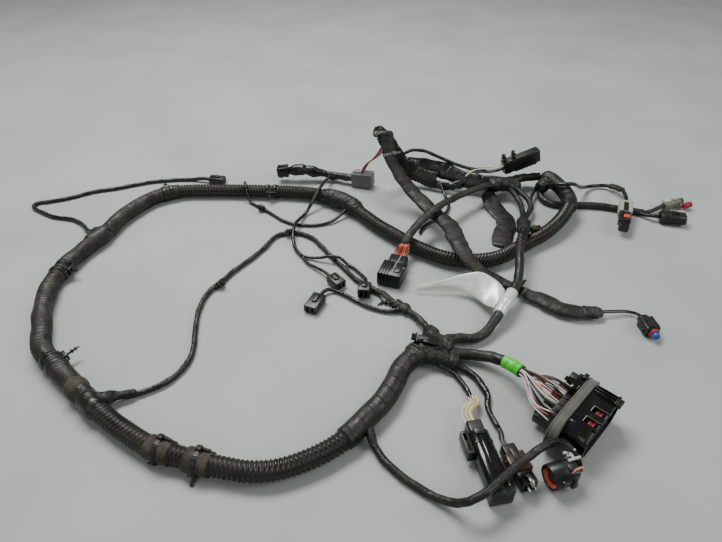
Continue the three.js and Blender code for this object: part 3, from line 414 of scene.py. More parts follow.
def clear_cover(name):
    """Milky translucent plastic over a plug"""
    made = Surface(name, "#cfcfc6", 0.35)
    made.shader.inputs["Transmission Weight"].default_value = 0.45
    made.shader.inputs["Subsurface Weight"].default_value = 0.1
    made.raise_by(made.calc("MULTIPLY", made.noise(300.0, 2.0), 0.00005))
    made.dust(0.2)
    return made.done()


# unpigmented plastic: light spreads in it, and the plug inside is a soft shadow
milky = clear_cover("milky plastic")


def amber_cover(name):
    """Brownish see-through plastic of the contact housing"""
    made = Surface(name, "#4b3019", 0.22)
    made.shader.inputs["Transmission Weight"].default_value = 0.45
    made.raise_by(made.calc("MULTIPLY", made.noise(300.0, 2.0), 0.00005))
    made.dust(0.25)
    return made.done()


# brown see-through plastic: the inside is dark, and the surface has sharp highlights
amber = amber_cover("brown translucent plastic")
print("materials so far:", len(bpy.data.materials))

# %% [markdown]
# ## The floor
# The harness lies on a plain pale work surface. A slab with a thickness would do, but only its
# top is seen. So it is one flat square, 16 m wide, a fifth of a millimetre below zero, and what
# rests on it can't flicker.

# %% The floor
def floor_finish(name):
    """A plain pale work surface, slightly cloudy"""
    made = Surface(name, "#a8adaa", 0.58)
    cloudy = made.span(made.noise(5.0, 4.0), 0.3, 0.7)
    made.color = made.mix(cloudy, srgb("#a3a9a5"), srgb("#aeb3b0"))
    made.raise_by(made.calc("MULTIPLY", made.noise(400.0, 2.0), 0.00002))
    return made.done()


floor_mesh = bpy.data.meshes.new("floor")
floor_mesh.from_pydata([(-8, -6, 0), (8, -6, 0), (8, 10, 0), (-8, 10, 0)], [], [(0, 1, 2, 3)])
floor_mesh.materials.append(floor_finish("pale work surface"))
floor = bpy.data.objects.new("floor", floor_mesh)
floor.location = (0, 0, -0.0002)
bpy.context.scene.collection.objects.link(floor)
print("materials:", len(bpy.data.materials))

# %% [markdown]
# ## Routes
# Each lead lies where its row of points says, in millimetres, in the frame that they were read
# off the photograph in. Most rows are those of the CAD model, so that a dressed lead covers its
# solid. Straight lines from point to point would show corners. The leads follow the smooth curve
# through the points instead, as a stiff bundle does.

# %% Routes
LAY_CENTRE = (-81.4, -6.7)
TRUNK = [
    (-6, -132, 13), (-31, -154, 13), (-55, -202, 12.8), (-79, -232, 12.8), (-98, -255, 12.8),
    (-124, -274, 12.8), (-162, -290, 12.8), (-189, -293, 12.8), (-225, -287, 12.8),
    (-272, -274, 12.8), (-301, -263, 12.8), (-333, -244, 12.8), (-362, -224, 12.8),
    (-405, -188, 12.8), (-437, -160, 12.8), (-469, -130, 12.8), (-485, -97, 12.8),
    (-500, -62, 12.8), (-512, -18, 12.8), (-514, 11, 12.8), (-509, 46, 12.8), (-498, 84, 12.8),
    (-485, 119, 12.8), (-476, 162, 12.8), (-458, 203, 12.8), (-435, 233, 12.8),
    (-403, 249, 12.8), (-343, 253, 12.8), (-252, 250, 12.8), (-174, 243, 12.8),
    (-139, 229, 12.8), (-105, 206, 12.8), (-86, 181, 12.8), (-57, 142, 12.8), (-30, 113, 12.8),
    (-2, 84, 12.8), (34, 58, 12.8), (63, 48, 12.8), (102, 49, 12.8), (129, 59, 12.8),
    (143, 70, 12.8), (172, 92, 13), (199, 110, 15), (224, 131, 19), (249, 162, 23),
    (265, 196, 25), (264, 232, 26), (254, 262, 27), (242, 281, 27),
]
LEAD_A = [
    (-485, 117, 12.8), (-500, 124, 11), (-521, 137, 5), (-542, 160, 3), (-561, 172, 3),
    (-597, 181, 3), (-626, 197, 3), (-646, 213, 3), (-644, 225, 3), (-624, 231, 3),
    (-596, 243, 3), (-560, 265, 3), (-528, 275, 3), (-499, 288, 3), (-469, 300, 3),
    (-446, 305, 3), (-412, 309, 3), (-388, 308, 5), (-374, 306, 7), (-362, 304, 7),
]
LEAD_B = [
    (-379, -211, 12.8), (-367, -204, 12), (-356, -198, 9), (-345, -194, 5), (-326, -186, 4),
    (-308, -174, 4), (-298, -160, 4), (-291, -143, 4), (-290, -122, 4), (-295, -90, 4),
    (-299, -62, 4), (-299, -34, 4), (-293, -9, 4), (-287, -1, 4), (-267, 36, 4),
    (-247, 65, 4), (-231, 94, 4), (-217, 124, 4), (-197, 132, 4), (-181, 131, 4),
    (-160, 118, 4), (-143, 94, 4), (-127, 68, 4), (-108, 41, 4), (-89, 13, 4),
    (-72, -3, 4), (-54, -18, 4), (-37, -39, 4), (-22, -52, 5), (-9, -69, 7), (0, -88, 9),
    (5, -108, 12), (0, -126, 13),
]
LEAD_C = [
    (-141, 311, 11), (-141, 299, 14), (-146, 268, 24), (-152, 240, 28), (-157, 224, 27),
    (-166, 206, 16), (-176, 190, 5), (-184, 165, 9), (-188, 149, 12), (-190, 131, 13),
    (-190, 114, 8), (-183, 88, 4), (-172, 70, 4),
]
LEAD_C_OVER = [
    (-172, 70, 4), (-158, 66, 4), (-143, 62, 7), (-129, 60, 11), (-115, 57, 10.5), (-103, 50, 4),
    (-90, 37, 4), (-80, 20, 5), (-76, 7, 10), (-76, 0, 11), (-77, -8, 11),
]
LEAD_C_PLUG = [(-172, 70, 4), (-162, 53, 4), (-148, 40, 5), (-136, 28, 7), (-126, 16, 7)]
LEAD_D = [
    (-28, -47, 5), (-36, -52, 5), (-48, -53, 4), (-72, -44, 4), (-88, -33, 4), (-107, -18, 4),
    (-119, -11, 4), (-129, -11, 6), (-135, -17, 7), (-139, -26, 7),
]
LEAD_E = [
    (-286, 254, 28), (-283, 242, 25), (-280, 235, 14), (-275, 228, 4), (-247, 203, 3),
    (-227, 184, 3), (-211, 169, 3), (-188, 158, 3), (-157, 156, 3), (-132, 165, 4),
    (-118, 178, 8), (-108, 190, 12),
]
LEAD_F = [
    (-6, -132, 13), (14, -118, 12), (37, -108, 9), (58, -107, 8), (72, -100, 9), (84, -87, 13),
    (102, -62, 20), (115, -42, 22), (129, -19, 24), (138, 9, 29), (143, 33, 33), (149, 55, 33.5),
    (158, 82, 33.5), (165, 102, 31), (172, 124, 23), (180, 156, 15), (187, 192, 13),
    (186, 218, 15), (177, 240, 21), (162, 252, 25),
]
LEAD_F_RIGHT = [
    (178, 150, 17), (192, 172, 14), (203, 196, 14), (202, 218, 16), (191, 238, 20),
    (177, 250, 24), (162, 256, 26),
]
LEAD_G = [
    (-6, -132, 13), (12, -134, 12), (33, -135, 10), (54, -138, 11), (73, -146, 15),
    (86, -158, 20), (99, -178, 26),
]
LEAD_H = [
    (-4, -134, 12), (20, -147, 9), (36, -152, 5), (48, -163, 4), (56, -179, 4), (60, -195, 4),
    (57, -207, 4), (59, -222, 4), (63, -236, 5),
]
LEAD_H_SHORT = [
    (-4, -134, 11), (12, -152, 8), (24, -159, 5), (32, -171, 4), (38, -186, 4), (41, -200, 5),
]
BLADE_WIRES = [(63, -236, 5), (64, -246, 7), (62.5, -255, 9.5), (65, -264, 9.8)]
FUSE_WIRES = [
    (41, -200, 5), (44, -209, 8), (40, -218, 12), (34, -224, 12.4), (33, -229, 12),
    (34.5, -238, 12),
]
LEAD_I = [
    (-79, -232, 12.8), (-74, -246, 11), (-69, -260, 6), (-61, -273, 4), (-47, -289, 4),
    (-30, -303, 4), (-12, -315, 5), (4, -325, 13), (16, -330, 26), (28, -326, 30),
    (39, -318, 30), (60, -301, 30), (78, -289, 32), (90, -281, 33), (100, -275, 32),
]
LEAD_M = [
    (162, 253, 25), (150, 250, 27), (135, 241, 29), (95, 210, 33), (62, 178, 37), (38, 151, 40),
    (17, 126, 38), (-4, 96, 34), (-16, 74, 31), (-21, 66, 22),
]
STRAP_FRONT = [
    (-40, 268, 118), (-38, 262, 104), (-34, 247, 80), (-17, 229, 54), (4, 207, 36),
    (32, 163, 26), (54, 120, 27), (60, 76, 30), (67, 36, 30), (81, 20, 21), (102, 11, 11),
    (118, 3, 7.5), (130, -5, 7), (145, -19, 7), (164, -34, 7), (188, -55, 8), (211, -59, 8),
    (236, -59, 8),
]
STRAP_BACK = [
    (-50, 267, 110), (-52, 273, 111), (-52, 280, 109), (-47, 289, 101), (-30, 297, 74),
    (-11, 297, 46), (10, 292, 28), (42, 280, 22), (52, 276, 22),
]
SLEEVE_UPPER = [
    (-2, 297, 38), (24, 300, 36), (58, 294, 33), (91, 277, 26), (122, 262, 23), (160, 254, 25),
]
SLEEVE_LOWER = [(10, 292, 24), (25, 286, 16), (49, 276, 12), (73, 266, 14), (97, 262, 20)]
STUB = [
    (60, 270, 14), (66, 247, 5), (68, 214, 4), (57, 187, 4), (44, 172, 4), (20, 152, 4),
    (10, 132, 4),
]
ARC = [
    (-8, 303, 58), (9, 306, 64), (31, 306, 62), (57, 303, 52), (88, 292, 43), (112, 282, 40),
    (138, 276, 40),
]
MULTI_WIRES = [
    (100, 272, 26), (112, 279, 33), (128, 279, 37), (145, 277, 38), (158, 278, 40),
    (169, 281, 43),
]
RIBBON = [
    (137, 247, 17), (139, 234, 13), (143, 219, 8), (149, 199, 4), (155, 181, 3), (154, 156, 3),
    (143, 124, 3), (134, 96, 3),
]
LINK = [(162, 258, 23), (181, 278, 18), (206, 289, 17), (226, 288, 20), (240, 284, 24)]
STRAND = [(196, 180, 15), (208, 218, 14), (220, 246, 12), (232, 266, 16), (242, 280, 24)]
RIGHT_THIN = [
    (250, 266, 27), (241, 246, 26), (247, 229, 38), (261, 219, 44), (277, 224, 41),
    (298, 244, 24), (326, 274, 8), (352, 282, 6), (368, 274, 9), (375, 258, 13), (374, 236, 18),
    (368, 213, 20), (361, 196, 19),
]
RIGHT_THICK = [
    (250, 266, 26), (235, 254, 14), (233, 238, 7), (242, 221, 6), (262, 214, 5), (291, 214, 5),
    (329, 211, 5), (361, 200, 5), (392, 190, 5),
]
RIGHT_UPPER = [(380, 194, 5), (396, 192, 5), (412, 197, 6), (428, 205, 8), (440, 210, 8)]
RIGHT_LOWER = [(380, 194, 5), (390, 184, 6), (400, 175, 9), (411, 172, 9.5)]
PLUG_LEAD = [(-216, 311, 21), (-203, 311, 22), (-185, 311, 22), (-157, 311, 16), (-137, 310, 11)]
GREY_LEAD = [(-146, 311, 11.5), (-130, 309, 11), (-115, 302, 13), (-98, 296.5, 14)]
SIGNAL_WIRES = [(236, -59, 8), (252, -57, 7), (270, -55, 5), (281, -59, 5), (284, -68, 6)]


def metres(point):
    """A point of a route, in the row frame"""
    return np.array([point[0] - LAY_CENTRE[0], point[1] - LAY_CENTRE[1], point[2]]) * 0.001


def smooth_line(points, lowest):
    """The smooth curve through a route's points, sampled about every millimetre"""
    p = np.array([metres(point) for point in points])
    p = np.vstack([2 * p[0] - p[1], p, 2 * p[-1] - p[-2]])
    runs = []
    for i in range(1, len(p) - 2):
        a, b, c, d = p[i - 1:i + 3]
        ab, bc, cd = (np.linalg.norm(v) ** 0.5 for v in (b - a, c - b, d - c))
        leave = ((b - a) / ab - (c - a) / (ab + bc) + (c - b) / bc) * bc
        arrive = ((c - b) / bc - (d - b) / (bc + cd) + (d - c) / cd) * bc
        t = np.linspace(0, 1, max(4, int(bc * bc / 0.001)), endpoint=False)[:, None]
        curve = b + t * leave + t ** 2 * (3 * (c - b) - 2 * leave - arrive)
        runs.append(curve + t ** 3 * (2 * (b - c) + leave + arrive))
    line = np.vstack(runs + [p[-2:-1]])
    line[:, 2] = np.maximum(line[:, 2], lowest)
    return line


def distances(line):
    """How far along the line each of its points is, in metres"""
    steps = np.linalg.norm(np.diff(line, axis=0), axis=1)
    return np.concatenate([[0.0], np.cumsum(steps)])


def walk(line, start=0.0, end=0.0, step=0.002):
    """Points at equal steps along a line, in metres: below 0, start and end count from its end"""
    gone = distances(line)
    start = start if start >= 0 else gone[-1] + start
    end = end if end > 0 else gone[-1] + end
    at = np.linspace(start, end, max(2, round((end - start) / step)) + 1)
    return at, np.stack([np.interp(at, gone, line[:, k]) for k in range(3)], axis=1)


print("points along the trunk:", len(TRUNK))

# %% [markdown]
# ## Swept pieces
# Leads, sleeves and tape are tubes round a line. Blender's curves can carry a bevel, but one whose
# outline changes at every ring is easier to work out than to draw. So a sweep is a closed mesh of
# rings. Its thickness and width may change along it and round it: tape bulges over the wires, a
# sleeve folds, and a conduit has its ribs.

# %% Sweep
LOWEST = 0.00005  # metres above the floor, and no point of a piece is lower
UP = (0.0, 0.0, 1.0)
TOWARDS_VIEWER = (0.0, -0.894, 0.447)


def unit(vectors):
    return vectors / np.linalg.norm(vectors, axis=-1, keepdims=True)


def lumps(at, sides, seed, size=0.02):
    """Unevenness, as of wires under tape: about -1 to 1 for each ring and side"""
    rng = np.random.default_rng(seed)
    angle = np.linspace(0, 2 * math.pi, sides, endpoint=False)
    total = np.zeros((len(at), sides))
    for _ in range(8):
        along = 2 * math.pi / (size * rng.uniform(0.5, 2.5))
        phase = along * at[:, None] + rng.integers(-3, 4) * angle[None] + rng.uniform(0, 6.3)
        total += np.sin(phase)
    return total / 3.0


def sweep(name, at, centres, high, wide, sides=20, facing=UP, uneven=None):
    """A closed tube round centres. high and wide are half its thickness and half its width"""
    tangents = unit(np.gradient(centres, axis=0))
    side = unit(np.cross(tangents, facing))
    normal = np.cross(side, tangents)
    angle = np.linspace(0, 2 * math.pi, sides, endpoint=False)
    grown = np.ones((len(at), sides)) if uneven is None else 1.0 + uneven
    high = np.broadcast_to(high, len(at))[:, None] * np.cos(angle) * grown
    wide = np.broadcast_to(wide, len(at))[:, None] * np.sin(angle) * grown
    rings = centres[:, None] + high[..., None] * normal[:, None] + wide[..., None] * side[:, None]
    rings[..., 2] = np.maximum(rings[..., 2], LOWEST)
    count = len(at)
    i, j = np.meshgrid(np.arange(count - 1), np.arange(sides), indexing="ij")
    k = (j + 1) % sides
    quads = np.stack([i * sides + j, i * sides + k, (i + 1) * sides + k, (i + 1) * sides + j], -1)
    faces = quads.reshape(-1, 4).tolist()
    faces += [list(range(sides))[::-1], list(range((count - 1) * sides, count * sides))]
    mesh = bpy.data.meshes.new(name)
    mesh.from_pydata(rings.reshape(-1, 3).tolist(), [], faces)
    girth = math.pi * float(np.mean(np.abs(wide).max(axis=1) + np.abs(high).max(axis=1)))
    corners = np.stack([at[i], at[i], at[i + 1], at[i + 1]], -1).ravel()
    around = np.stack([j, j + 1, j + 1, j], -1).ravel() / sides
    ends = np.concatenate([np.full(sides, at[0]), np.full(sides, at[-1])])
    corners = np.concatenate([corners, ends])
    around = np.concatenate([around, np.zeros(2 * sides)])
    for layer, scale in (("turns", 1.0), ("cloth", girth)):
        uv = mesh.uv_layers.new(name=layer)
        uv.data.foreach_set("uv", np.stack([corners, around * scale], -1).ravel())
    mesh.polygons.foreach_set("use_smooth", [True] * len(mesh.polygons))
    mesh.update()
    made = bpy.data.objects.new(name, mesh)
    bpy.context.scene.collection.objects.link(made)
    return made


def rounded_ends(at, length=0.004, start=True, end=True):
    """Scales a sweep's thickness down at its ends, as tape is pressed down there"""
    share = np.ones(len(at))
    if start:
        share = np.minimum(share, np.clip((at - at[0]) / length, 0, 1))
    if end:
        share = np.minimum(share, np.clip((at[-1] - at) / length, 0, 1))
    return 0.25 + 0.75 * np.sqrt(1 - (1 - share) ** 2)


def lead(name, points, width, nodes, material, thickness=None,
         start=0.0, end=0.0, facing=UP, rough=0.05, size=0.02, sides=20, pieces=(),
         ends=(False, False), shape=None, plug=None):
    """A taped or bare lead along its route: made, and given its material"""
    thickness = thickness or width
    line = smooth_line(points, min(thickness, width) / 2)
    at, centres = walk(line, start, end)
    press = rounded_ends(at, min(0.006, width), *ends)
    if shape is not None:
        press = press * np.interp(at, *shape)
    uneven = rough * lumps(at, sides, sum(map(ord, name)), size)
    made = sweep(
        name + "_line", at, centres, thickness / 2 * press, width / 2 * press, sides, facing,
        uneven)
    made.data.materials.append(material)
    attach(made, "root")
    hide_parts(*nodes)
    if plug:
        pieces = [*pieces, plugs[plug]]
    return made


print("nothing lies lower than", LOWEST * 1000, "mm")

# %% [markdown]
# ## The trunk
# One corrugated conduit runs round the whole loop. Tape covers it at the front fork, along the
# left side, at the rear knuckle and at the far end. A rib could be an object of its own, repeated
# along a curve. Here each rib is six rings of one and the same tube, so the conduit is one closed
# skin that bends without gaps.

# %% The trunk
RIB_PITCH = 0.0050
RINGS_TO_A_RIB = 6
CONDUIT_RADIUS = 0.011
GROOVE_DEPTH = 0.0014
# (start, end, radius, tape, groove depth) in metres along the trunk; tape: 0 none, 1 black, 2 dusty
SECTIONS = [
    (0.000, 0.158, 0.0124, 1, 0.0001), (0.158, 0.450, CONDUIT_RADIUS, 0, GROOVE_DEPTH),
    (0.450, 1.014, 0.0121, 2, 0.0010), (1.014, 1.268, CONDUIT_RADIUS, 0, GROOVE_DEPTH),
    (1.268, 1.352, 0.0124, 1, 0.0001), (1.352, 1.800, CONDUIT_RADIUS, 0, GROOVE_DEPTH),
    (1.800, 9.000, 0.0128, 1, 0.0001),
]
trunk_line = smooth_line(TRUNK, 0.0128)
trunk_length = distances(trunk_line)[-1]
TRUNK_SIDES = 36


def trunk_rings():
    """Where the rings lie along the trunk, their radius, their groove and whether they are taped"""
    rows = []
    for start, end, radius, tape, depth in SECTIONS:
        end = min(end, trunk_length)
        step = RIB_PITCH / RINGS_TO_A_RIB
        for at in np.arange(start + step / 2, end, step):
            wave = float(np.clip(1.6 * math.cos(2 * math.pi * at / RIB_PITCH) + 0.2, -1, 1))
            wave = wave / 2 + 0.5
            shown = 1.0 if tape == 0 else 0.7 + 0.3 * math.sin(at * 31) * math.sin(at * 83)
            rows.append((at, radius - depth * shown * wave, wave, tape))
    return np.array(rows)


rings = trunk_rings()
trunk_at = rings[:, 0]
gone = distances(trunk_line)
trunk_centres = np.stack([np.interp(trunk_at, gone, trunk_line[:, k]) for k in range(3)], axis=1)
taped = rings[:, 3] > 0.5
bulges = lumps(trunk_at, TRUNK_SIDES, 7, 0.035)
uneven = np.where(taped[:, None], 0.034 * bulges, 0.008 * bulges)
end_press = rounded_ends(trunk_at, 0.012, False, True)
trunk = sweep(
    "trunk", trunk_at, trunk_centres, rings[:, 1] * end_press, rings[:, 1] * end_press,
    TRUNK_SIDES, uneven=uneven)
for material in (conduit, cloth_tape, dusty_tape):
    trunk.data.materials.append(material)
face_tape = np.repeat(np.maximum(rings[:-1, 3], rings[1:, 3]).astype(int), TRUNK_SIDES)
trunk.data.polygons.foreach_set("material_index", np.concatenate([face_tape, [1, 1]]))
groove = trunk.data.attributes.new("groove", "FLOAT", "POINT")
groove.data.foreach_set("value", np.repeat(rings[:, 2], TRUNK_SIDES))
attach(trunk, "root")
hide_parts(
    "front_conduit", "side_taped_trunk", "rear_conduit", "knuckle_tape", "far_conduit",
    "far_end_tape", "fork_tape")
print("trunk:", round(trunk_length, 3), "m,", len(trunk.data.polygons), "faces")

# %% [markdown]
# ## Connectors
# The plugs are moulded, and every corner of a moulding is slightly round: that thin line of
# light along an edge is what makes it look moulded. One block could be cut into shape. It is
# quicker to press a few plain shapes with softened edges into one another, each in the plug's own
# frame, in millimetres. x points the way it plugs in, and z is the side with the latch.

# %% Shapes for moulded parts
def box(length, width, height, x=0, y=0, z=0, edge=0.4, radius=0.0):
    """A block from x to x + length, its four long edges rounded by radius, the rest by edge"""
    shape = bmesh.new()
    flag = shape.faces.layers.float.new("edge")
    size = Matrix.Diagonal((length, width, height, 1))
    bmesh.ops.create_cube(shape, size=1.0, matrix=Matrix.Translation((x + length / 2, y, z)) @ size)
    if radius:
        sides = [e for e in shape.edges if abs((e.verts[0].co - e.verts[1].co).x) > length / 2]
        bmesh.ops.bevel(shape, geom=sides, offset=radius, segments=7, affect="EDGES", profile=0.5)
    if edge:
        sharp = [e for e in shape.edges if e.calc_face_angle(0.0) > 0.6]
        made = bmesh.ops.bevel(shape, geom=sharp, offset=edge, segments=2, affect="EDGES",
                               profile=0.5)
        for face in made["faces"]:
            face[flag] = 1.0
    return shape


def turned(profile, y=0, z=0, sides=40):
    """A shape turned round an axis along x, from (x, radius) points; ends on the axis close it"""
    shape = bmesh.new()
    shape.faces.layers.float.new("edge")
    angles = [2 * math.pi * i / sides for i in range(sides)]
    loops = [
        [shape.verts.new((x, y + r * math.cos(a), z + r * math.sin(a))) for a in angles]
        for x, r in profile
    ]
    closed = profile[0][1] > 0.01
    pairs = list(zip(loops, loops[1:] + (loops[:1] if closed else [])))
    for first, second in pairs[:len(loops) if closed else len(loops) - 1]:
        for i in range(sides):
            j = (i + 1) % sides
            shape.faces.new((first[i], first[j], second[j], second[i]))
    bmesh.ops.remove_doubles(shape, verts=shape.verts, dist=0.001)
    bmesh.ops.recalc_face_normals(shape, faces=shape.faces)
    return shape


def rod(width, length, x=0, y=0, z=0, edge=0.5, sides=40):
    r = width / 2
    return turned([(x, 0), (x, r - edge), (x + edge, r), (x + length - edge, r),
                   (x + length, r - edge), (x + length, 0)], y, z, sides)


def ring(outer, inner, length, x=0, y=0, z=0, edge=0.5):
    o, i, end = outer / 2, inner / 2, x + length
    return turned([(x, o - edge), (x + edge, o), (end - edge, o), (end, o - edge),
                   (end, i + edge), (end - edge, i), (x + edge, i), (x, i + edge)], y, z)


def turn_shape(shape, axis, degrees, about=(0, 0, 0)):
    bmesh.ops.rotate(shape, verts=shape.verts, cent=about,
                     matrix=Matrix.Rotation(math.radians(degrees), 3, axis))
    return shape


def held(shape):
    """A temporary object with that shape"""
    mesh = bpy.data.meshes.new("part")
    shape.to_mesh(mesh)
    shape.free()
    made = bpy.data.objects.new("part", mesh)
    bpy.context.scene.collection.objects.link(made)
    return made


def carve(shape, *tools):
    """shape with the tools cut out of it"""
    target = held(shape)
    for tool in tools:
        cutter = held(tool)
        cut = target.modifiers.new("cut", "BOOLEAN")
        cut.object = cutter
        cut.solver = "EXACT"
        seen = target.evaluated_get(bpy.context.evaluated_depsgraph_get())
        result = bpy.data.meshes.new_from_object(seen)
        target.modifiers.clear()
        target.data = result
        bpy.data.objects.remove(cutter)
    rest = bmesh.new()
    rest.from_mesh(target.data)
    bpy.data.objects.remove(target)
    return rest


def frame_at(x, y, z, yaw, pitch=0.0):
    """The frame of a piece that stands at a point of the routes, turned by degrees"""
    turns = (Matrix.Rotation(math.radians(yaw), 4, "Z")
             @ Matrix.Rotation(math.radians(-pitch), 4, "Y"))
    return Matrix.Translation(metres((x, y, z))) @ turns


def frame_after(points):
    """The frame of a connector that carries straight on from the end of a lead"""
    line = smooth_line(points, 0.0)
    ahead = unit(line[-1] - line[-2])
    yaw = math.degrees(math.atan2(ahead[1], ahead[0]))
    return frame_at(*points[-1], yaw, math.degrees(math.asin(ahead[2])))


def moulding(name, place, nodes, *parts):
    """One object from (shape, material) pairs, put in its place on the harness"""
    whole = bmesh.new()
    whole.faces.layers.float.new("edge")
    materials = []
    for shape, material in parts:
        if material not in materials:
            materials.append(material)
        for face in shape.faces:
            face.material_index = materials.index(material)
        mesh = bpy.data.meshes.new("part")
        shape.to_mesh(mesh)
        shape.free()
        whole.from_mesh(mesh)
        bpy.data.meshes.remove(mesh)
    bmesh.ops.triangulate(whole, faces=[f for f in whole.faces if len(f.verts) > 4])
    mesh = bpy.data.meshes.new(name)
    whole.to_mesh(mesh)
    whole.free()
    for material in materials:
        mesh.materials.append(material)
    mesh.transform(place @ Matrix.Diagonal((0.001, 0.001, 0.001, 1)))
    for corner in mesh.vertices:
        corner.co.z = max(corner.co.z, LOWEST)
    mesh.polygons.foreach_set("use_smooth", [True] * len(mesh.polygons))
    mesh.set_sharp_from_angle(angle=math.radians(38))
    made = bpy.data.objects.new(name, mesh)
    bpy.context.scene.collection.objects.link(made)
    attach(made, "root")
    if nodes:
        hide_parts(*nodes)
    return made


def joined(name, objects, nodes=()):
    """One object from several, which keep their materials and maps"""
    first = objects[0]
    with bpy.context.temp_override(active_object=first, selected_editable_objects=objects):
        bpy.ops.object.join()
    first.name = name
    first.data.name = name
    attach(first, "root")
    if nodes:
        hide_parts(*nodes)
    return first


print("shapes: box, rod, ring, turned")

# %% [markdown]
# ## The bulkhead connector
# The largest plug goes through a wall of the car body. It has a glossy open shroud, a wide rubber
# flange that seals the hole, a red seal inside, and a cover that leads the wires in. The opening
# and the slots could be painted black, but their inner walls are seen, so they are cut with
# booleans. Everything else is a rounded block on top.

# %% The bulkhead connector
bulkhead = frame_at(139, -231, 22.3, -45)
shroud = carve(
    box(35.5, 82, 38, -3.5, 3, 0, 0.5, 16.5),
    box(40, 76.8, 32.8, 0, 3, 0, 0.3, 14),
    box(18, 8.5, 20, 16, 4, 19, 0),
    box(18, 8.5, 20, 16, -13, 19, 0),
    box(8, 14, 20, 28, -28, 19, 0),
)
core_holes = [box(9, 4.6, 2.4, 22, y + 3, z, 0) for z in (-4, 4) for y in (-20, -10, 0, 10, 20)]
rails = [(box(24, 1.3, 4.2, 7, y, 20, 0.4), black_nylon) for y in (25.6, 29.6, 33.6)]
moulding(
    "bulkhead_housing", bulkhead, ["bulkhead_shroud"],
    (shroud, glossy_nylon),
    (carve(box(30, 60, 18, -1, 3, 0, 0.5, 5), *core_holes), black_nylon),
    (box(4, 70, 25, 25.2, 3, -2, 0.6, 9), black_nylon),
    (box(28, 11, 4, 8, 30, 17.6, 0.5), black_nylon), *rails,
    (box(3, 13, 5, 29, 30, 19, 0.6), black_nylon),
    (box(15, 0.5, 0.6, 16, 8.4, 18.9, 0.15), grey_nylon),
    (box(15, 0.5, 0.6, 16, -8.6, 18.9, 0.15), grey_nylon),
    (box(0.5, 8.6, 0.6, 15.8, 4, 18.9, 0.15), pale_nylon),
    (box(0.5, 8.6, 0.6, 15.8, -13, 18.9, 0.15), pale_nylon),
)
moulding(
    "bulkhead_flange", bulkhead, ["bulkhead_flange_seal"],
    (box(9.5, 98, 44, -4.75, 0, 0, 1.2, 19), flange_rubber),
    (box(1.8, 99.6, 45.6, -5.0, 0, 0, 0.8, 19.8), flange_rubber),
    (box(1.8, 99.6, 45.6, 3.2, 0, 0, 0.8, 19.8), flange_rubber),
)
moulding(
    "bulkhead_seal", bulkhead, ["bulkhead_core_seal"],
    (box(5, 66, 28, 19.5, 3, 0, 0.8, 9), red_silicone),
    (box(1.6, 67, 30, 21, 3, 0, 0.7, 9), red_silicone),
    (box(1.6, 67, 30, 24.6, 3, 0, 0.7, 9), red_silicone),
)
teeth = [(box(8, 3, 2.2, -14, 11.0 * i + 2, 13.4, 0.5), black_nylon) for i in range(-2, 3)]
combs = [(box(3, 2, 12, -30.2, 5.2 * i + 4, -8.6, 0.4), black_nylon) for i in range(-5, 6)]
moulding(
    "bulkhead_wire_cover", bulkhead, ["bulkhead_wire_block"],
    (box(16, 64, 12, -28.8, 4, -9, 0.8, 3), black_nylon), *teeth, *combs,
    (box(10, 62, 27, -14.6, 4, -0.5, 0.8, 4), black_nylon),
    (box(17, 11, 20, -23, 31, 3, 1.0, 3), black_nylon),
    (box(16, 9, 9, -22, 29, 17, 1.0), black_nylon),
    (turn_shape(box(20, 5, 3.4, -24, 20, 19, 0.8), "Y", 12, (-14, 0, 19)), glossy_nylon),
    (turn_shape(box(18, 3.4, 3, -22, 12, 17, 0.8), "Y", 16, (-12, 0, 17)), glossy_nylon),
    (box(9, 26, 7, -15, 24, 19, 2.4), glossy_nylon),
    (box(5, 8, 8, -10, 34, 21, 1.0), black_nylon),
)
print("bulkhead connector: 4 pieces")

# %% [markdown]
# ## Connectors on the front leads
# A long glossy connector, a brown see-through one with bare contacts, a round one with a pale
# clip, and a small plug with a blue core between red seals. They could be set down by eye. Those
# that end a lead take their frame from its last points instead, so that they carry straight on
# from it. What is round is turned from a profile, as on a lathe.

# %% Connectors on the front leads
inline = frame_after(FUSE_WIRES)
inline_piece = moulding(
    "inline_housing", inline, ["inline_connector"],
    (box(18, 17, 18, 0.3, 0, 0, 0.8, 3), black_nylon),
    (box(64, 22, 23, 14, 0, 0, 0.8, 6.5), glossy_nylon),
    (box(9, 24, 23, 75, 0, 0, 0.8, 3), black_nylon),
    (box(3, 22.8, 23.6, 26, 0, 0, 0.6, 6.5), glossy_nylon),
    (box(40, 3.4, 1.6, 22, 0, 11.7, 0.6), glossy_nylon),
    (box(8, 10, 4, 12, 0, 10.6, 1.0), black_nylon),
    (carve(box(27, 8, 14, 10, -14, 0, 0.8), box(21, 3.4, 18, 13, -14.6, 0, 0)), black_nylon),
    (box(5, 1.4, 3, 74, 6.5, 12.0, 0.4), tinned),
    (box(12, 9, 6, 73, -4, 11, 1.0), black_nylon),
)
blade = frame_after(BLADE_WIRES)
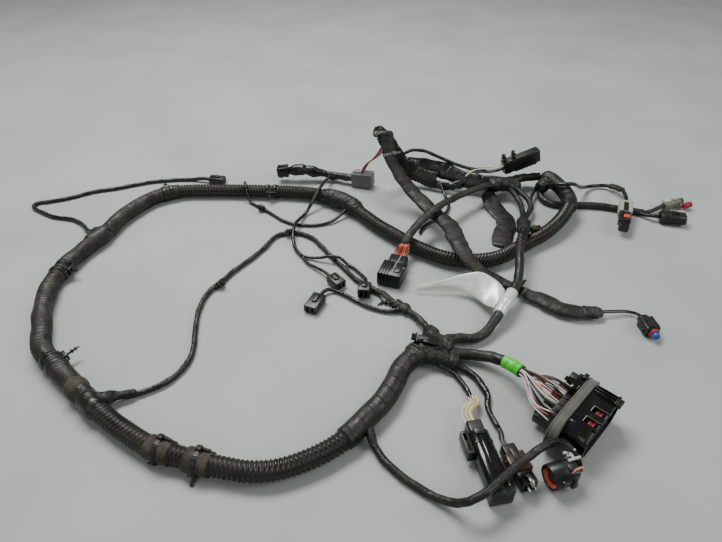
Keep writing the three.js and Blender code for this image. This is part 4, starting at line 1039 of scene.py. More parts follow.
blade_piece = moulding(
    "blade_housing", blade, ["blade_connector"],
    (box(16, 15, 14, 0.3, 0, 0, 1.0, 2), black_nylon),
    (box(20, 22, 19, 12, 0, 0, 1.0, 3), amber),
    (carve(box(17, 17, 15, 29, 0, 0, 0.8, 3), box(12, 12, 9, 36, 0, 0, 0)), black_nylon),
    (box(14, 7, 3, 8, 0, 10, 0.6), black_nylon),
    (box(4, 23, 5, 16, 0, 4, 0.8), black_nylon),
    (rod(2.6, 12, 40, 3, 2), tinned), (rod(2.6, 12, 40, -3, 2), tinned),
    (turn_shape(ring(7, 4.6, 1.2, 44, 3, 3), "Z", 30, (44, 3, 3)), tinned),
    (turn_shape(box(9, 4, 0.8, 38, 0, 9, 0.2), "Y", -18, (38, 0, 9)), tinned),
    (turn_shape(box(7, 4, 0.8, 45, 0, 11, 0.2), "Y", 35, (45, 0, 11)), tinned),
)
round_place = frame_at(111, -296, 13.8, 198)
clip_bars = [(box(14, 2.4, 2.6, -20, y, 14.4, 0.5), pale_nylon) for y in (-11.6, -3.2)]
round_piece = moulding(
    "round_housing", round_place, ["round_connector"],
    (turned([(-4, 0), (-4, 11.7), (-3, 12.6), (13.2, 12.8), (14, 12.3), (14, 11.4), (13.4, 11),
             (0.5, 11), (0, 10.4), (0, 0)]), black_nylon),
    (turned([(-1, 0), (-1, 7), (10, 7), (11, 6), (11, 0)]), black_nylon),
    (box(12, 20, 18, -14, 0, 0, 1.0, 4), black_nylon),
    (box(10, 8, 5, -13, 3, 11, 1.0), black_nylon),
    (box(6, 5, 8, -10, 11.5, -4, 0.8), black_nylon),
    (box(6, 4, 5, 2, 12.5, 5, 0.8), black_nylon),
    (turn_shape(box(5, 7, 4, -17, 7, -7, 0.8), "Z", 14), red_nylon),
    (turn_shape(box(7, 4, 6, -19, 4, 5, 0.8), "Y", 20, (-16, 4, 5)), black_nylon),
)
moulding(
    "round_seal", round_place, ["round_connector_seal"],
    (carve(turned([(6, 6.6), (6, 10.4), (7, 11), (12.2, 11), (13, 10.4), (13, 9.2), (9, 6.6)]),
           box(30, 40, 30, -5, 0, 13.5, 0)), orange_silicone),
)
moulding(
    "round_clip", round_place, ["round_connector_clip"], *clip_bars,
    (box(2.8, 9, 2.4, -14, -7.2, 14.4, 0.5), pale_nylon),
    (box(3, 3, 8, -12, -9, 10, 0.5), pale_nylon),
)
signal = frame_at(284, -75, 8.3, -84)
signal_piece = moulding(
    "signal_housing", signal, ["signal_plug"],
    (box(22, 18, 15, 0, 0, -0.5, 0.9, 2.5), black_nylon),
    (box(8, 12, 10, -6, 0, 0, 0.8, 2), black_nylon),
    *[(box(20, 2.2, 2.0, 1, y, 7.4, 0.5), black_nylon) for y in (-6.6, -2.4, 2.4, 6.6)],
    (box(6, 8, 3, 15, 0, 8, 0.8), black_nylon),
    (box(4, 21, 6, 13, 0, -2, 0.8), black_nylon),
)
moulding(
    "signal_core", signal, ["signal_plug_core"],
    (rod(9, 9, 22.3, 0, 0), blue_nylon), (box(8, 10, 2, 22.4, 0, 0, 0.4), blue_nylon),
)
moulding(
    "signal_seal", signal, ["signal_plug_seal"],
    (ring(13, 9.4, 1.7, 22.3), red_silicone), (ring(13, 9.4, 1.7, 24.2), red_silicone),
)
print("front connectors: 4")

# %% [markdown]
# ## Connectors at the rear and on the right
# A two-step connector in the middle, a tall thin one with two studs, a grey one, four plugs on
# the right, and four small ones on the thin leads. Each could be modelled by itself. What repeats
# at even steps, such as ribs and slots, is a loop here, and the small plugs are one function,
# because they differ only in size.

# %% Connectors at the rear and on the right
multi = frame_at(-26, 52, 12, -110)
slots = [box(5, 1.1, 12, 50, 4.8 * i, 0, 0) for i in (-2.5, -1.5, -0.5, 0.5, 1.5, 2.5)]
multi_piece = moulding(
    "multi_housing", multi, ["multi_connector"],
    (box(26, 26, 16, 0, 0, 0, 0.8, 2), black_nylon),
    (carve(box(32, 35, 22, 22, 0, 0, 0.9, 3), *slots), black_nylon),
    *[(box(30, 2.0, 1.8, 23, y, 11.3, 0.5), black_nylon) for y in (-15, -11, -7, -3)],
    *[(box(18, 2.0, 1.6, 3, y, 8.3, 0.5), black_nylon) for y in (-10, -6)],
    (box(30, 0.9, 1.0, 23, 2.4, 11.2, 0.2), pale_nylon),
    (box(0.9, 15, 1.0, 33, 9.6, 11.2, 0.2), pale_nylon),
    (box(18, 9, 2.4, 28, 9, 11.4, 0.6), black_nylon),
    (box(22, 1.0, 0.8, 2, 2.4, 8.2, 0.2), pale_nylon),
)


def barbs(x, z, length=13.0, width=8.0):
    """The stud of a fir-tree clip, standing up from a connector"""
    half = width / 2
    profile = [(0, 0), (0, 1.8), (length * 0.45, 1.6), (length * 0.45, half), (length * 0.6, 1.4),
               (length * 0.75, 1.4), (length * 0.75, half * 0.8), (length, 0.8), (length, 0)]
    stud = turn_shape(turned(profile, sides=16), "Y", -90)
    bmesh.ops.translate(stud, verts=stud.verts, vec=(x, 0, z))
    return stud


rear = frame_after(MULTI_WIRES)
slits = [box(7, 10, 2.0, 62, 0, z, 0) for z in (5, 0, -5)]
moulding(
    "rear_housing", rear, ["rear_connector"],
    (carve(box(68, 16, 24, 0, 0, 0, 0.8, 2), *slits), black_nylon),
    (box(42, 4, 5, 18, -8, -9, 0.8), black_nylon),
    *[(box(2.6, 1.6, 4, 20 + 5 * i, -10.4, -9.5, 0.4), black_nylon) for i in range(8)],
    (box(52, 1.4, 1.6, 12, -8.2, 8, 0.4), black_nylon),
    (box(52, 1.4, 1.6, 12, -8.2, 2, 0.4), black_nylon),
    (box(4, 17.4, 25.4, 6, 0, 0, 0.8, 2), black_nylon),
    (barbs(3, 11, 16, 10), black_nylon), (barbs(21, 11, 16, 10), black_nylon),
)
rear_plug_place = frame_after(PLUG_LEAD[::-1])
moulding(
    "rear_plug_housing", rear_plug_place, ["rear_plug"],
    (box(20, 16, 19, 0.3, 0, 0, 0.9, 2), black_nylon),
    (box(3, 18, 21, 2, 0, 0, 0.8, 3), black_nylon),
    (box(12, 6, 3, 6, 0, 10.5, 0.7), black_nylon),
    (box(4, 4, 6, 14, 0, -11, 0.8), black_nylon),
    (box(2, 12, 14, 19.4, 0, 0, 0.5), grey_nylon),
)
grey_place = frame_after(GREY_LEAD)
grey_piece = moulding(
    "grey_housing", grey_place, ["grey_connector"],
    (box(38, 22, 26, 0.3, 0, 0, 0.7, 1.5), grey_nylon),
    (box(14, 12, 5, 4, 0, 15, 0.8), pale_nylon), (box(9, 8, 4, 6, 0, 18.2, 1.0), pale_nylon),
    (box(2, 6, 6, 19, 0, 14.5, 0.5), WIRES["brown"]),
)
locked = frame_after(RIGHT_THIN)
cover = carve(box(32, 21, 16, 0.3, 0, 0, 0.8, 3), box(26, 8, 17, 6, 0, 3, 0))
locked_cover = moulding(
    "locked_plug_sleeve", locked, ["locked_plug_cover"],
    (cover, milky), (box(30, 6.4, 10, 1, 0, 2, 0.8), black_nylon),
)
moulding(
    "locked_plug_housing", locked, ["locked_plug"],
    (box(26, 18, 14, 32.6, 0, 0, 0.9, 3), black_nylon),
    (box(17, 15, 12, 57, 0, 0, 0.9, 3), glossy_nylon),
    *[(box(22, 1.6, 1.6, 34, y, 7.8, 0.4), black_nylon) for y in (-7, -3.6)],
)
moulding(
    "locked_plug_slide", locked, ["locked_plug_lock"],
    (box(8, 9, 4.4, 45, 2, 7.6, 0.8), orange_nylon), (box(3, 6, 2, 49, 2, 9.8, 0.5), orange_nylon),
)
capped = frame_after(RIGHT_UPPER)
# olive grey polyamide: dull, neither grey nor green
olive_nylon = moulded("olive grey nylon", "#68675b", 0.45, 0.25, worn="#98978a")
capped_body = moulding(
    "capped_plug_housing", capped, ["capped_plug"],
    (box(34, 12, 12, -7.7, 0, 0, 0.9, 4), olive_nylon),
    (box(14, 10, 4, -6, 4, 7, 0.8), pale_nylon), (box(7, 8, 4, 12, 4, 8, 0.8), pale_nylon),
)
moulding(
    "capped_plug_end", capped, ["capped_plug_cap"],
    (rod(10, 10, 26.6, 2, 0), green_nylon), (ring(11, 8, 2, 28, 2, 0), green_nylon),
)
moulding(
    "red_plug_housing", capped, ["red_plug"],
    (box(16, 8.5, 8.5, 24, -12.8, 0, 0.8, 2), red_nylon), (ring(10.4, 6, 2, 38, -12.8), red_nylon),
)
dark = frame_after(RIGHT_LOWER)
dark_piece = moulding(
    "dark_plug_housing", dark, ["dark_plug"],
    (carve(box(38, 24, 17, 0.3, 0, 0, 0.9, 8), box(10, 17, 10, 30, 0, 0, 0, 4.5)), black_nylon),
    (box(3, 26, 19, 12, 0, 0, 0.9, 8), black_nylon), (box(14, 8, 3, 14, 0, 9, 0.7), glossy_nylon),
)


def small_plug(name, node, place, length, width, height):
    """A two-pin plug: latch, side rails, cable seals at the back and terminals in front"""
    half = height / 2
    body = carve(
        box(length, width, height, 0.3, 0, 0, 0.7, 2),
        box(7, 2.6, height - 5, length - 6, width / 5, 0, 0),
        box(7, 2.6, height - 5, length - 6, -width / 5, 0, 0))
    return moulding(
        name, place, [node], (body, black_nylon),
        (box(length * 0.55, 5.4, 1.4, 3, 0, half + 1.6, 0.4), black_nylon),
        (box(3, 5.4, 3, 3, 0, half + 0.6, 0.4), black_nylon),
        (box(2.4, 7.4, 2.0, length * 0.5, 0, half + 1.6, 0.4), glossy_nylon),
        (box(length * 0.7, 1.4, 2.6, 4, width / 2 + 0.2, 0, 0.4), black_nylon),
        (box(length * 0.7, 1.4, 2.6, 4, -width / 2 - 0.2, 0, 0.4), black_nylon),
        (rod(4.2, 3, -2, width / 5, 0), red_silicone),
        (rod(4.2, 3, -2, -width / 5, 0), red_silicone),
    )


plugs = {
    "lead_a_plug": small_plug("upper_left_plug", "lead_a_plug", frame_after(LEAD_A), 28, 16, 12),
    "lead_c_plug": small_plug("middle_plug", "lead_c_plug", frame_after(LEAD_C_PLUG), 24, 17, 12),
    "lead_d_plug": small_plug("left_plug", "lead_d_plug", frame_after(LEAD_D), 30, 19, 12),
    "lead_c_box": small_plug("clip_box", "lead_c_box", frame_after(LEAD_C_OVER), 18, 17, 16),
    "blade_connector": blade_piece, "inline_connector": inline_piece,
    "round_connector": round_piece, "multi_connector": multi_piece,
    "signal_plug": signal_piece, "grey_connector": grey_piece,
    "locked_plug_cover": locked_cover, "capped_plug": capped_body, "dark_plug": dark_piece,
}
print("connectors that end a lead:", len(plugs))

# %% [markdown]
# ## Bare wires
# Between the end of a taped lead and its connector the single wires show, each in its colour. A
# bundle could be one ribbed tube, but these wires cross and leave gaps, so each is a thin sweep.
# Small random shifts keep those of the bulkhead connector apart. They come from a fixed seed, and
# every run gives the same.

# %% Wires at the connectors
wire_lengths = []


def wire(points, width, color, lowest=None, sides=8):
    """One insulated wire, through points in the frame of the routes"""
    line = smooth_line(points, width / 2 if lowest is None else lowest)
    at, centres = walk(line, step=0.0016)
    wire_lengths.append(at[-1])
    made = sweep("wire", at, centres, width / 2, width / 2, sides)
    made.data.materials.append(WIRES[color])
    return made


def spot(place, x, y, z):
    """A point in a connector's frame, in the frame of the routes"""
    found = place @ Vector((x / 1000, y / 1000, z / 1000))
    return (found.x * 1000 + LAY_CENTRE[0], found.y * 1000 + LAY_CENTRE[1], found.z * 1000)


rng = np.random.default_rng(3)
FAN = ["white", "black", "white", "black", "pink", "white", "black", "white", "black", "brown",
       "white", "black", "white", "red", "black", "white", "orange", "black", "white", "black",
       "white", "white", "black", "brown", "white", "black", "pink", "white", "black", "white"]
g_line = smooth_line(LEAD_G, 0.006)
g_end = np.array(LEAD_G[-1], float)
g_ahead = unit(g_line[-1] - g_line[-6])
g_side = unit(np.cross(g_ahead, UP))
g_up = np.cross(g_side, g_ahead)
fan = []
for i, color in enumerate(FAN):
    share = i / (len(FAN) - 1)
    across = (share - 0.5) * 10.6
    lift = math.sqrt(max(0.0, 5.4 ** 2 - across ** 2)) * rng.uniform(-1, 1)
    start = g_end + g_side * across + g_up * lift - g_ahead * 6
    near = g_end + g_ahead * 7 + g_side * across * 1.3 + g_up * lift
    y = 28 - 54 * share + rng.uniform(-3, 3)
    height = rng.uniform(-3, 9)
    back = spot(bulkhead, -12, y, height)
    before = spot(bulkhead, -27 - rng.uniform(0, 9), y * 0.95 + rng.uniform(-3, 3),
                  height + rng.uniform(-2, 8))
    fan.append(wire([tuple(start), tuple(near), before, back], 0.0017, color, 0.001))
fan_piece = joined("bulkhead_wire_fan", fan, ["bulkhead_wires"])


def beside(points, across, up):
    """The same route, moved sideways and up by some millimetres, so wires lie side by side"""
    moved = []
    for i, point in enumerate(points):
        before, after = points[max(i - 1, 0)], points[min(i + 1, len(points) - 1)]
        ahead = unit(np.array(after[:2], float) - np.array(before[:2], float))
        x, y = point[0] + ahead[1] * across, point[1] - ahead[0] * across
        moved.append((x, y, point[2] + up))
    return moved


def wires(name, route, nodes, width, *rows):
    """Several wires along one route: (across, up, colour) for each"""
    made = [wire(beside(route, across, up), width, color) for across, up, color in rows]
    return joined(name, made, nodes)


FUSE_LOOP = [(43, -196, 5), (43, -207, 9), (37, -214, 13), (31, -222, 13), (32, -231, 12),
             (34.5, -240, 12)]
fuse_wires = wires(
    "inline_wires", FUSE_LOOP, ["lead_h_short"], 0.0019,
    (-4.4, 0.5, "yellow"), (-2.6, 1.8, "white"), (-0.6, 2.6, "yellow"), (1.6, 1.8, "white"),
    (-1.0, -0.6, "white"), (3.6, 0.4, "yellow"), (5.2, -0.4, "white"))
blade_wires = wires(
    "blade_wires", BLADE_WIRES, ["lead_h"], 0.0022, (-1.8, 0.4, "black"), (1.8, 0.4, "black"))
ROUND_WIRES = [
    LEAD_I[-1], (108, -273, 33), (117, -276, 32), (126, -283, 25), spot(round_place, -19, 0, 1),
    spot(round_place, -12, 0, 0),
]
round_wires = wires(
    "round_wires", ROUND_WIRES, ["lead_i"], 0.0022,
    (-2.6, 0.6, "black"), (-0.4, 0.8, "black"), (0.8, -1.4, "black"), (2.8, 0.4, "black"),
    (-1.4, -1.6, "black"), (1.6, 2.2, "black"), (4.0, -1.2, "black"))
short_wire = wire(
    [spot(round_place, -20, 2, 2), spot(round_place, -18, 5, 10), spot(round_place, -9, 7, 14),
     spot(round_place, -4, 7, 10)], 0.0022, "salmon")
round_wires = joined("round_wires", [round_wires, short_wire], ["lead_i"])
signal_wires = wires(
    "signal_wires", [(230, -59, 8)] + SIGNAL_WIRES[1:-1] + [(283.6, -66, 7), (284, -74, 8)],
    ["strap_front"], 0.0021, (-1.7, 0.3, "black"), (1.7, 0.3, "black"))
multi_fan = []
MULTI_FAN = ["red", "orange", "pink", "red", "orange", "yellow", "red", "black", "orange",
             "yellow", "pink", "orange", "red", "yellow"]
for i, color in enumerate(MULTI_FAN):
    y = -9 + 1.4 * i
    side = -1 if i % 2 else 1
    start = (LEAD_M[-1][0] + 6 + (i - 6.5) * 0.6, LEAD_M[-1][1] + 8, LEAD_M[-1][2] + 3 + side)
    out = (LEAD_M[-1][0] + (i - 6.5) * 1.1 + 1, LEAD_M[-1][1] - 3, 25 + 3 * side)
    multi_fan.append(wire(
        [start, out, spot(multi, -5, y, 5 * side + 2), spot(multi, 3, y, 4 * side)], 0.0021, color))
multi_wires = joined("multi_wires", multi_fan, ["lead_m"])
rear_wires = wires(
    "rear_wires", MULTI_WIRES, ["rear_sleeves"], 0.0021,
    (-6.4, 3.4, "yellow"), (-3.2, 5.6, "white"), (0.2, 4.4, "yellow"), (3.4, 5.4, "white"),
    (-4.4, 1.2, "yellow"), (1.4, 1.4, "white"), (5.4, 2.4, "black"), (-7.6, 0.2, "white"),
    (-1.6, -1.6, "black"), (3.0, -1.6, "black"))
TIE_WIRES = [
    spot(grey_place, 20, 0, 14), (-72, 287, 46), (-60, 279, 60), (-50, 270, 76), (-43, 264, 92),
]
tie_wires = wires(
    "grey_box_wires", TIE_WIRES, ["grey_connector"], 0.0018,
    (-9.0, 0.4, "red"), (-5.4, 1.4, "brown"), (-1.6, 0.2, "red"), (2.0, 1.8, "pink"),
    (5.6, 0.6, "brown"), (9.2, 1.0, "red"))

green_at, green_centres = walk(g_line, -0.029, 0.0)
green_radius = 0.0077 * rounded_ends(green_at, 0.0015)
green_piece = sweep(
    "green_tape_wrap", green_at, green_centres, green_radius, green_radius, 28,
    uneven=0.03 * lumps(green_at, 28, 5, 0.012))
green_piece.data.materials.append(green_tape)
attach(green_piece, "root")
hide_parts("green_tape")
print("bare wires:", len(wire_lengths), "of", round(sum(wire_lengths), 2), "m in all")

# %% [markdown]
# ## Crumpled tape
# Where several leads meet, a wad of crumpled tape holds them together. Tape could be simulated
# as cloth, but that takes long and is hard to steer. A short, thick sweep with sharp ridges looks
# much the same at this size.

# %% Crumpled tape
def wad(name, points, width, thickness, material, nodes=(), rough=0.13, size=0.012, start=0.0,
        end=0.0, shape=None, sides=32):
    """Tape bunched up where leads meet or a sleeve ends"""
    line = smooth_line(points, min(thickness, width) / 2)
    at, centres = walk(line, start, end, 0.0012)
    press = rounded_ends(at, width * 0.4)
    if shape is not None:
        press = press * np.interp(at, *shape)
    ridges = 0.6 - np.abs(lumps(at, sides, len(name), size * 0.8))
    uneven = rough * (lumps(at, sides, sum(map(ord, name)), size) * 0.6 + ridges * 0.7)
    made = sweep(
        name, at, centres, thickness / 2 * press, width / 2 * press, sides, uneven=uneven)
    made.data.materials.append(material)
    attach(made, "root")
    if nodes:
        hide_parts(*nodes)
    return made


fork_wad = wad(
    "fork_wad", [(-28, -150, 14), (-6, -132, 14), (12, -124, 13), (30, -128, 11)], 0.030, 0.025,
    crumpled_tape, ["fork_tape"], 0.10)
fork_front_wad = wad(
    "fork_front_wad", [(-14, -138, 13), (6, -140, 12), (22, -145, 10), (34, -151, 7)], 0.023,
    0.019, crumpled_tape, ["fork_tape"], 0.11)
wad(
    "fork_rear_wad", [(-16, -136, 14), (-4, -122, 14), (5, -104, 12), (2, -92, 9)], 0.020, 0.017,
    crumpled_tape, ["fork_tape"], 0.11)
wad(
    "knuckle_wad", TRUNK, 0.0295, 0.0280, crumpled_tape, ["knuckle_tape"], 0.075, 0.018,
    1.268, 1.352, shape=([1.268, 1.29, 1.33, 1.352], [0.92, 1.05, 1.02, 0.90]))
# tape that has come loose on the left: tan-brown, quite dull, without tight turns
loose_tape = wound_tape(
    "loose tan-brown tape", "#3a3126", "#5d5140", 0.75, 0.03, 0.00030, 0.0012, 0.25)
wad(
    "split_wad", TRUNK, 0.0272, 0.0272, loose_tape, ["side_taped_trunk"], 0.05, 0.02, 0.484, 0.508)
wad(
    "smooth_wad", TRUNK, 0.0266, 0.0266, vinyl_tape, ["side_taped_trunk"], 0.03, 0.03, 0.446, 0.480)
branch_wad = wad(
    "branch_wad", LEAD_B, 0.019, 0.017, crumpled_tape, ["side_taped_trunk"], 0.09, 0.014,
    0.0, 0.048, shape=([0.0, 0.016, 0.028, 0.048], [1.15, 0.95, 0.55, 0.42]))
crossing_wad = wad(
    "crossing_wad", LEAD_F, 0.0195, 0.0175, crumpled_tape, ["crossing_tape"], 0.13, 0.014,
    -0.178, -0.112)
rear_wad = wad(
    "rear_wad", [(140, 247, 26), (160, 254, 25), (180, 254, 22), (194, 262, 19)], 0.028, 0.023,
    cloth_tape, ["rear_fork_tape"], 0.13)
far_wad = wad(
    "far_wad", [(228, 246, 18), (243, 258, 24), (254, 268, 26), (246, 282, 26)], 0.024, 0.023,
    crumpled_tape, ["far_end_tape"], 0.10)
sleeve_end_wad = wad(
    "sleeve_end_wad", STRAP_FRONT, 0.024, 0.014, brown_tape, ["strap_front"], 0.15, 0.012,
    -0.030, 0.0, shape=([0.40, 0.45, 0.47, 0.50], [1.0, 1.0, 1.0, 0.8]))
fork_side_wad = wad(
    "fork_side_wad", LEAD_G, 0.0155, 0.0145, cloth_tape, ["fork_tape"], 0.09, end=0.044)
flag_wad = wad(
    "tape_flag", RIGHT_THIN, 0.0145, 0.0085, brown_tape, ["right_thin_lead"], 0.08, 0.014,
    0.200, 0.234)
wad(
    "lead_a_wad", [(-478, 112, 14), (-487, 119, 12.5), (-499, 124, 11), (-508, 129, 9)], 0.018,
    0.017, vinyl_tape, ["side_taped_trunk"], 0.07)
wad(
    "side_wad", TRUNK, 0.0270, 0.0270, cloth_tape, ["side_taped_trunk"], 0.05, 0.03, 0.812, 0.856)
wad(
    "split_lead_wad", LEAD_B, 0.0150, 0.0120, crumpled_tape, ["lead_b"], 0.17, 0.008, 0.667, 0.695)
moulding(
    "fork_box", frame_at(176, 112, 24, 8), ["crossing_tape"],
    (box(15, 12, 11, 6, 0, -2, 0.8, 2), black_nylon), (box(4, 6, 4, 2, 0, 4.5, 0.6), green_nylon),
    (box(4, 7, 2.4, 8, 1, 4.2, 0.5), WIRES["brown"]))
print("wads of tape: 16, and a small box")

# %% [markdown]
# ## The leads
# Round leads, flat sleeves and a ribbon of tape, each wound in its own kind of tape. Real leads
# bend, and each one here is a sweep that follows the smooth curve through its points, with its
# width and thickness. Its shape says where it is thicker.

# %% The leads
lead("lead_a", LEAD_A, 0.0066, ["lead_a", "side_taped_trunk"], vinyl_tape, plug="lead_a_plug",
     shape=([0.0, 0.03, 0.036, 0.60, 0.61], [1.5, 1.45, 1.0, 1.0, 1.25]),
     rough=0.09, sides=16)
lead("lead_b", LEAD_B, 0.0068, ["lead_b", "side_taped_trunk", "fork_tape"], cloth_tape,
     shape=([0.0, 0.034, 0.042, 0.60, 0.62], [1.5, 1.35, 1.0, 1.0, 1.4]), rough=0.10,
     pieces=[branch_wad], sides=18)
lead("lead_d", LEAD_D, 0.0054, ["lead_b"], vinyl_tape, plug="lead_d_plug",
     shape=([0.0, 0.012, 0.02], [1.4, 1.3, 1.0]), sides=14)
lead("lead_c", LEAD_C, 0.0056, ["lead_c", "plug_lead"], vinyl_tape,
     shape=([0.0, 0.014, 0.02], [1.4, 1.3, 1.0]), sides=14)
lead("lead_c_over", LEAD_C_OVER, 0.0046, ["lead_c"], vinyl_tape, plug="lead_c_box",
     sides=12)
lead("lead_c_plug", LEAD_C_PLUG, 0.0046, ["lead_c"], vinyl_tape, plug="lead_c_plug",
     sides=12)
lead("lead_e", LEAD_E, 0.0052, ["lead_e", "knuckle_tape"], vinyl_tape,
     sides=12)
lead("lead_f", LEAD_F, 0.0124, ["lead_f", "fork_tape"], cloth_tape, end=-0.205, rough=0.035,
     shape=([0.0, 0.038, 0.046], [1.2, 1.2, 1.0]), pieces=[fork_wad])
lead("crossing", LEAD_F, 0.0145, ["crossing_tape"], vinyl_tape, start=-0.212, end=-0.108,
     rough=0.07, size=0.03, pieces=[crossing_wad])
lead("left_strand", LEAD_F, 0.009, ["crossing_tape", "rear_fork_tape"], cloth_tape,
     start=-0.114, rough=0.06, pieces=[rear_wad])
lead("right_strand", LEAD_F_RIGHT, 0.009, ["crossing_tape", "rear_fork_tape"], cloth_tape,
     rough=0.06)
lead("far_strand", STRAND, 0.006, ["crossing_tape", "far_end_tape"], cloth_tape, rough=0.07,
     sides=14, pieces=[far_wad])
lead("lead_h", LEAD_H, 0.0084, ["lead_h", "fork_tape"], vinyl_tape, plug="blade_connector",
     shape=([0.0, 0.03, 0.05, 0.085, 0.12], [1.2, 1.1, 1.0, 1.0, 0.7]), sides=20, rough=0.09,
     pieces=[fork_front_wad, blade_wires])
lead("lead_h_short", LEAD_H_SHORT, 0.0064, ["lead_h_short", "fork_tape"], vinyl_tape,
     plug="inline_connector", shape=([0.0, 0.03, 0.045, 0.08], [1.3, 1.1, 1.0, 0.9]), sides=18,
     rough=0.08, pieces=[fuse_wires])
lead("lead_i", LEAD_I, 0.0082, ["lead_i", "fork_tape"], cloth_tape, plug="round_connector",
     rough=0.05, shape=([0.0, 0.024, 0.032, 0.265, 0.275, 0.30], [1.3, 1.2, 1.0, 1.0, 1.3, 1.2]),
     pieces=[round_wires])
lead("lead_m", LEAD_M, 0.0135, ["lead_m", "rear_fork_tape"], cloth_tape, plug="multi_connector",
     thickness=0.008, rough=0.06, shape=([0.0, 0.034, 0.042], [1.15, 1.1, 1.0]), sides=24,
     pieces=[multi_wires])
lead("strap_front", STRAP_FRONT, 0.022, ["strap_front"], brown_tape, plug="signal_plug",
     thickness=0.0095, rough=0.06, size=0.035, sides=28, pieces=[sleeve_end_wad, signal_wires],
     shape=([0.0, 0.03, 0.10, 0.20, 0.25, 0.30, 0.36, 0.375, 0.395, 0.42, 0.44, 0.47, 0.50],
            [1.0, 1.0, 1.20, 1.31, 1.29, 1.12, 0.92, 0.74, 0.66, 1.12, 1.24, 1.10, 0.8]),
     ends=(True, True))
lead("strap_back", STRAP_BACK, 0.0265, ["rear_sleeves"], vinyl_tape, thickness=0.0065,
     facing=TOWARDS_VIEWER, rough=0.10, size=0.03, sides=28, ends=(True, False),
     shape=([0.0, 0.012, 0.03, 0.06, 0.12], [0.75, 0.85, 0.95, 1.0, 1.0]))
lead("sleeve_upper", SLEEVE_UPPER, 0.0286, ["rear_sleeves", "rear_fork_tape"], vinyl_tape,
     thickness=0.0095, facing=TOWARDS_VIEWER, rough=0.11, size=0.028, sides=32)
lead("sleeve_lower", SLEEVE_LOWER, 0.0145, ["rear_sleeves"], vinyl_tape, thickness=0.009,
     facing=TOWARDS_VIEWER, rough=0.15, size=0.014, sides=28)
lead("stub", STUB, 0.0052, ["rear_sleeves"], vinyl_tape,
     ends=(False, True), sides=12)
lead("arc", ARC, 0.006, ["rear_sleeves"], cloth_tape, rough=0.06, sides=16,
     pieces=[rear_wires])
lead("ribbon", RIBBON, 0.0264, ["flat_ribbon"], cloth_tape, thickness=0.004,
     rough=0.07, size=0.05, sides=28, ends=(False, True),
     shape=([0.0, 0.03, 0.08, 0.14, 0.17], [0.95, 1.15, 1.24, 1.2, 1.05]))
lead("link", LINK, 0.0145, ["rear_fork_tape", "far_end_tape"], cloth_tape, rough=0.09,
     size=0.025, sides=24)
lead("plug_lead", PLUG_LEAD[:-1] + [(-140, 310.5, 11.5)] + GREY_LEAD[1:], 0.0165,
     ["plug_lead"], vinyl_tape, plug="grey_connector", facing=TOWARDS_VIEWER, rough=0.09,
     pieces=[tie_wires], size=0.02, sides=28,
     shape=([0.0, 0.012, 0.026, 0.032, 0.046, 0.056, 0.07, 0.08, 0.12],
            [0.8, 1.25, 1.3, 0.95, 1.3, 0.95, 0.72, 0.9, 0.78]))
lead("right_thin", RIGHT_THIN, 0.0066, ["right_thin_lead", "far_end_tape"], vinyl_tape,
     plug="locked_plug_cover", sides=14, pieces=[flag_wad],
     shape=([0.0, 0.034, 0.042], [1.4, 1.3, 1.0]))
lead("right_thick", RIGHT_THICK, 0.0115, ["right_thick_lead", "far_end_tape"], cloth_tape,
     rough=0.05, shape=([0.0, 0.022, 0.03], [1.25, 1.15, 1.0]))
lead("right_upper", RIGHT_UPPER, 0.007, ["right_thick_lead"], cloth_tape,
     plug="capped_plug", sides=16)
lead("right_lower", RIGHT_LOWER, 0.006, ["right_thick_lead"], cloth_tape,
     plug="dark_plug", sides=16)
lead("lead_g", LEAD_G, 0.0136, ["lead_g", "fork_tape"], cloth_tape, rough=0.045,
     pieces=[green_piece, fan_piece, fork_side_wad])

# %% [markdown]
# ## Fir-tree clips
# These push into holes in the car body and hold the harness there. The stud is turned from a
# profile with two barbs, and two short rings of tape hold the foot. Each could be copied and
# placed by hand. One function makes them from the lead's own line instead, so that they follow
# when the line moves.

# %% Fir-tree clips
def place_on(points, distance):
    """The point, the direction and the sideways direction at a distance along a route"""
    line = smooth_line(points, 0.0)
    at, found = walk(line, distance - 0.001, distance + 0.001, 0.001)
    ahead = unit(found[-1] - found[0])
    return found[len(found) // 2], ahead, unit(np.cross(ahead, UP))


def clip(name, points, distance, radius, lean, nodes, tape, stud=10.0, foot=20.0):
    """A clip whose foot is taped to a lead, and whose stud leans out of it"""
    centre, ahead, side = place_on(points, distance)
    out = unit(side * math.cos(lean) + np.array(UP) * math.sin(lean))
    turn = Matrix((out, ahead, np.cross(out, ahead))).transposed().to_4x4()
    r = radius * 1000
    made = moulding(
        name, Matrix.Translation(centre) @ turn, (),
        (box(2.0, foot, 7, r - 0.8, 0, 0, 0.6, 1.5), black_nylon),
        (box(5.4, 11, 10, r - 0.8, 0, 0, 0.8), black_nylon),
        (rod(9.5, 1.4, r + 2.8, sides=28), black_nylon),
        (turned([(r + 4, 0), (r + 4, 1.6), (r + 3 + stud * 0.4, 1.5), (r + 3 + stud * 0.4, 3.6),
                 (r + 3 + stud * 0.52, 1.4), (r + 3 + stud * 0.66, 1.4),
                 (r + 3 + stud * 0.66, 3.0), (r + 3 + stud * 0.78, 1.2), (r + 3 + stud, 0.7),
                 (r + 3 + stud, 0)], sides=18), black_nylon))
    rings = []
    line = smooth_line(points, 0.0)
    for start in (distance - foot / 2000, distance + 0.003):
        at, centres = walk(line, start, start + 0.007, 0.001)
        grown = (radius + 0.0008) * (0.94 + 0.06 * rounded_ends(at, 0.002))
        band = sweep("clip_tape", at, centres, grown, grown, 28,
                     uneven=0.03 * lumps(at, 28, int(distance * 1e4), 0.01))
        band.data.materials.append(tape)
        rings.append(band)
    return joined(name, [made, *rings], nodes)


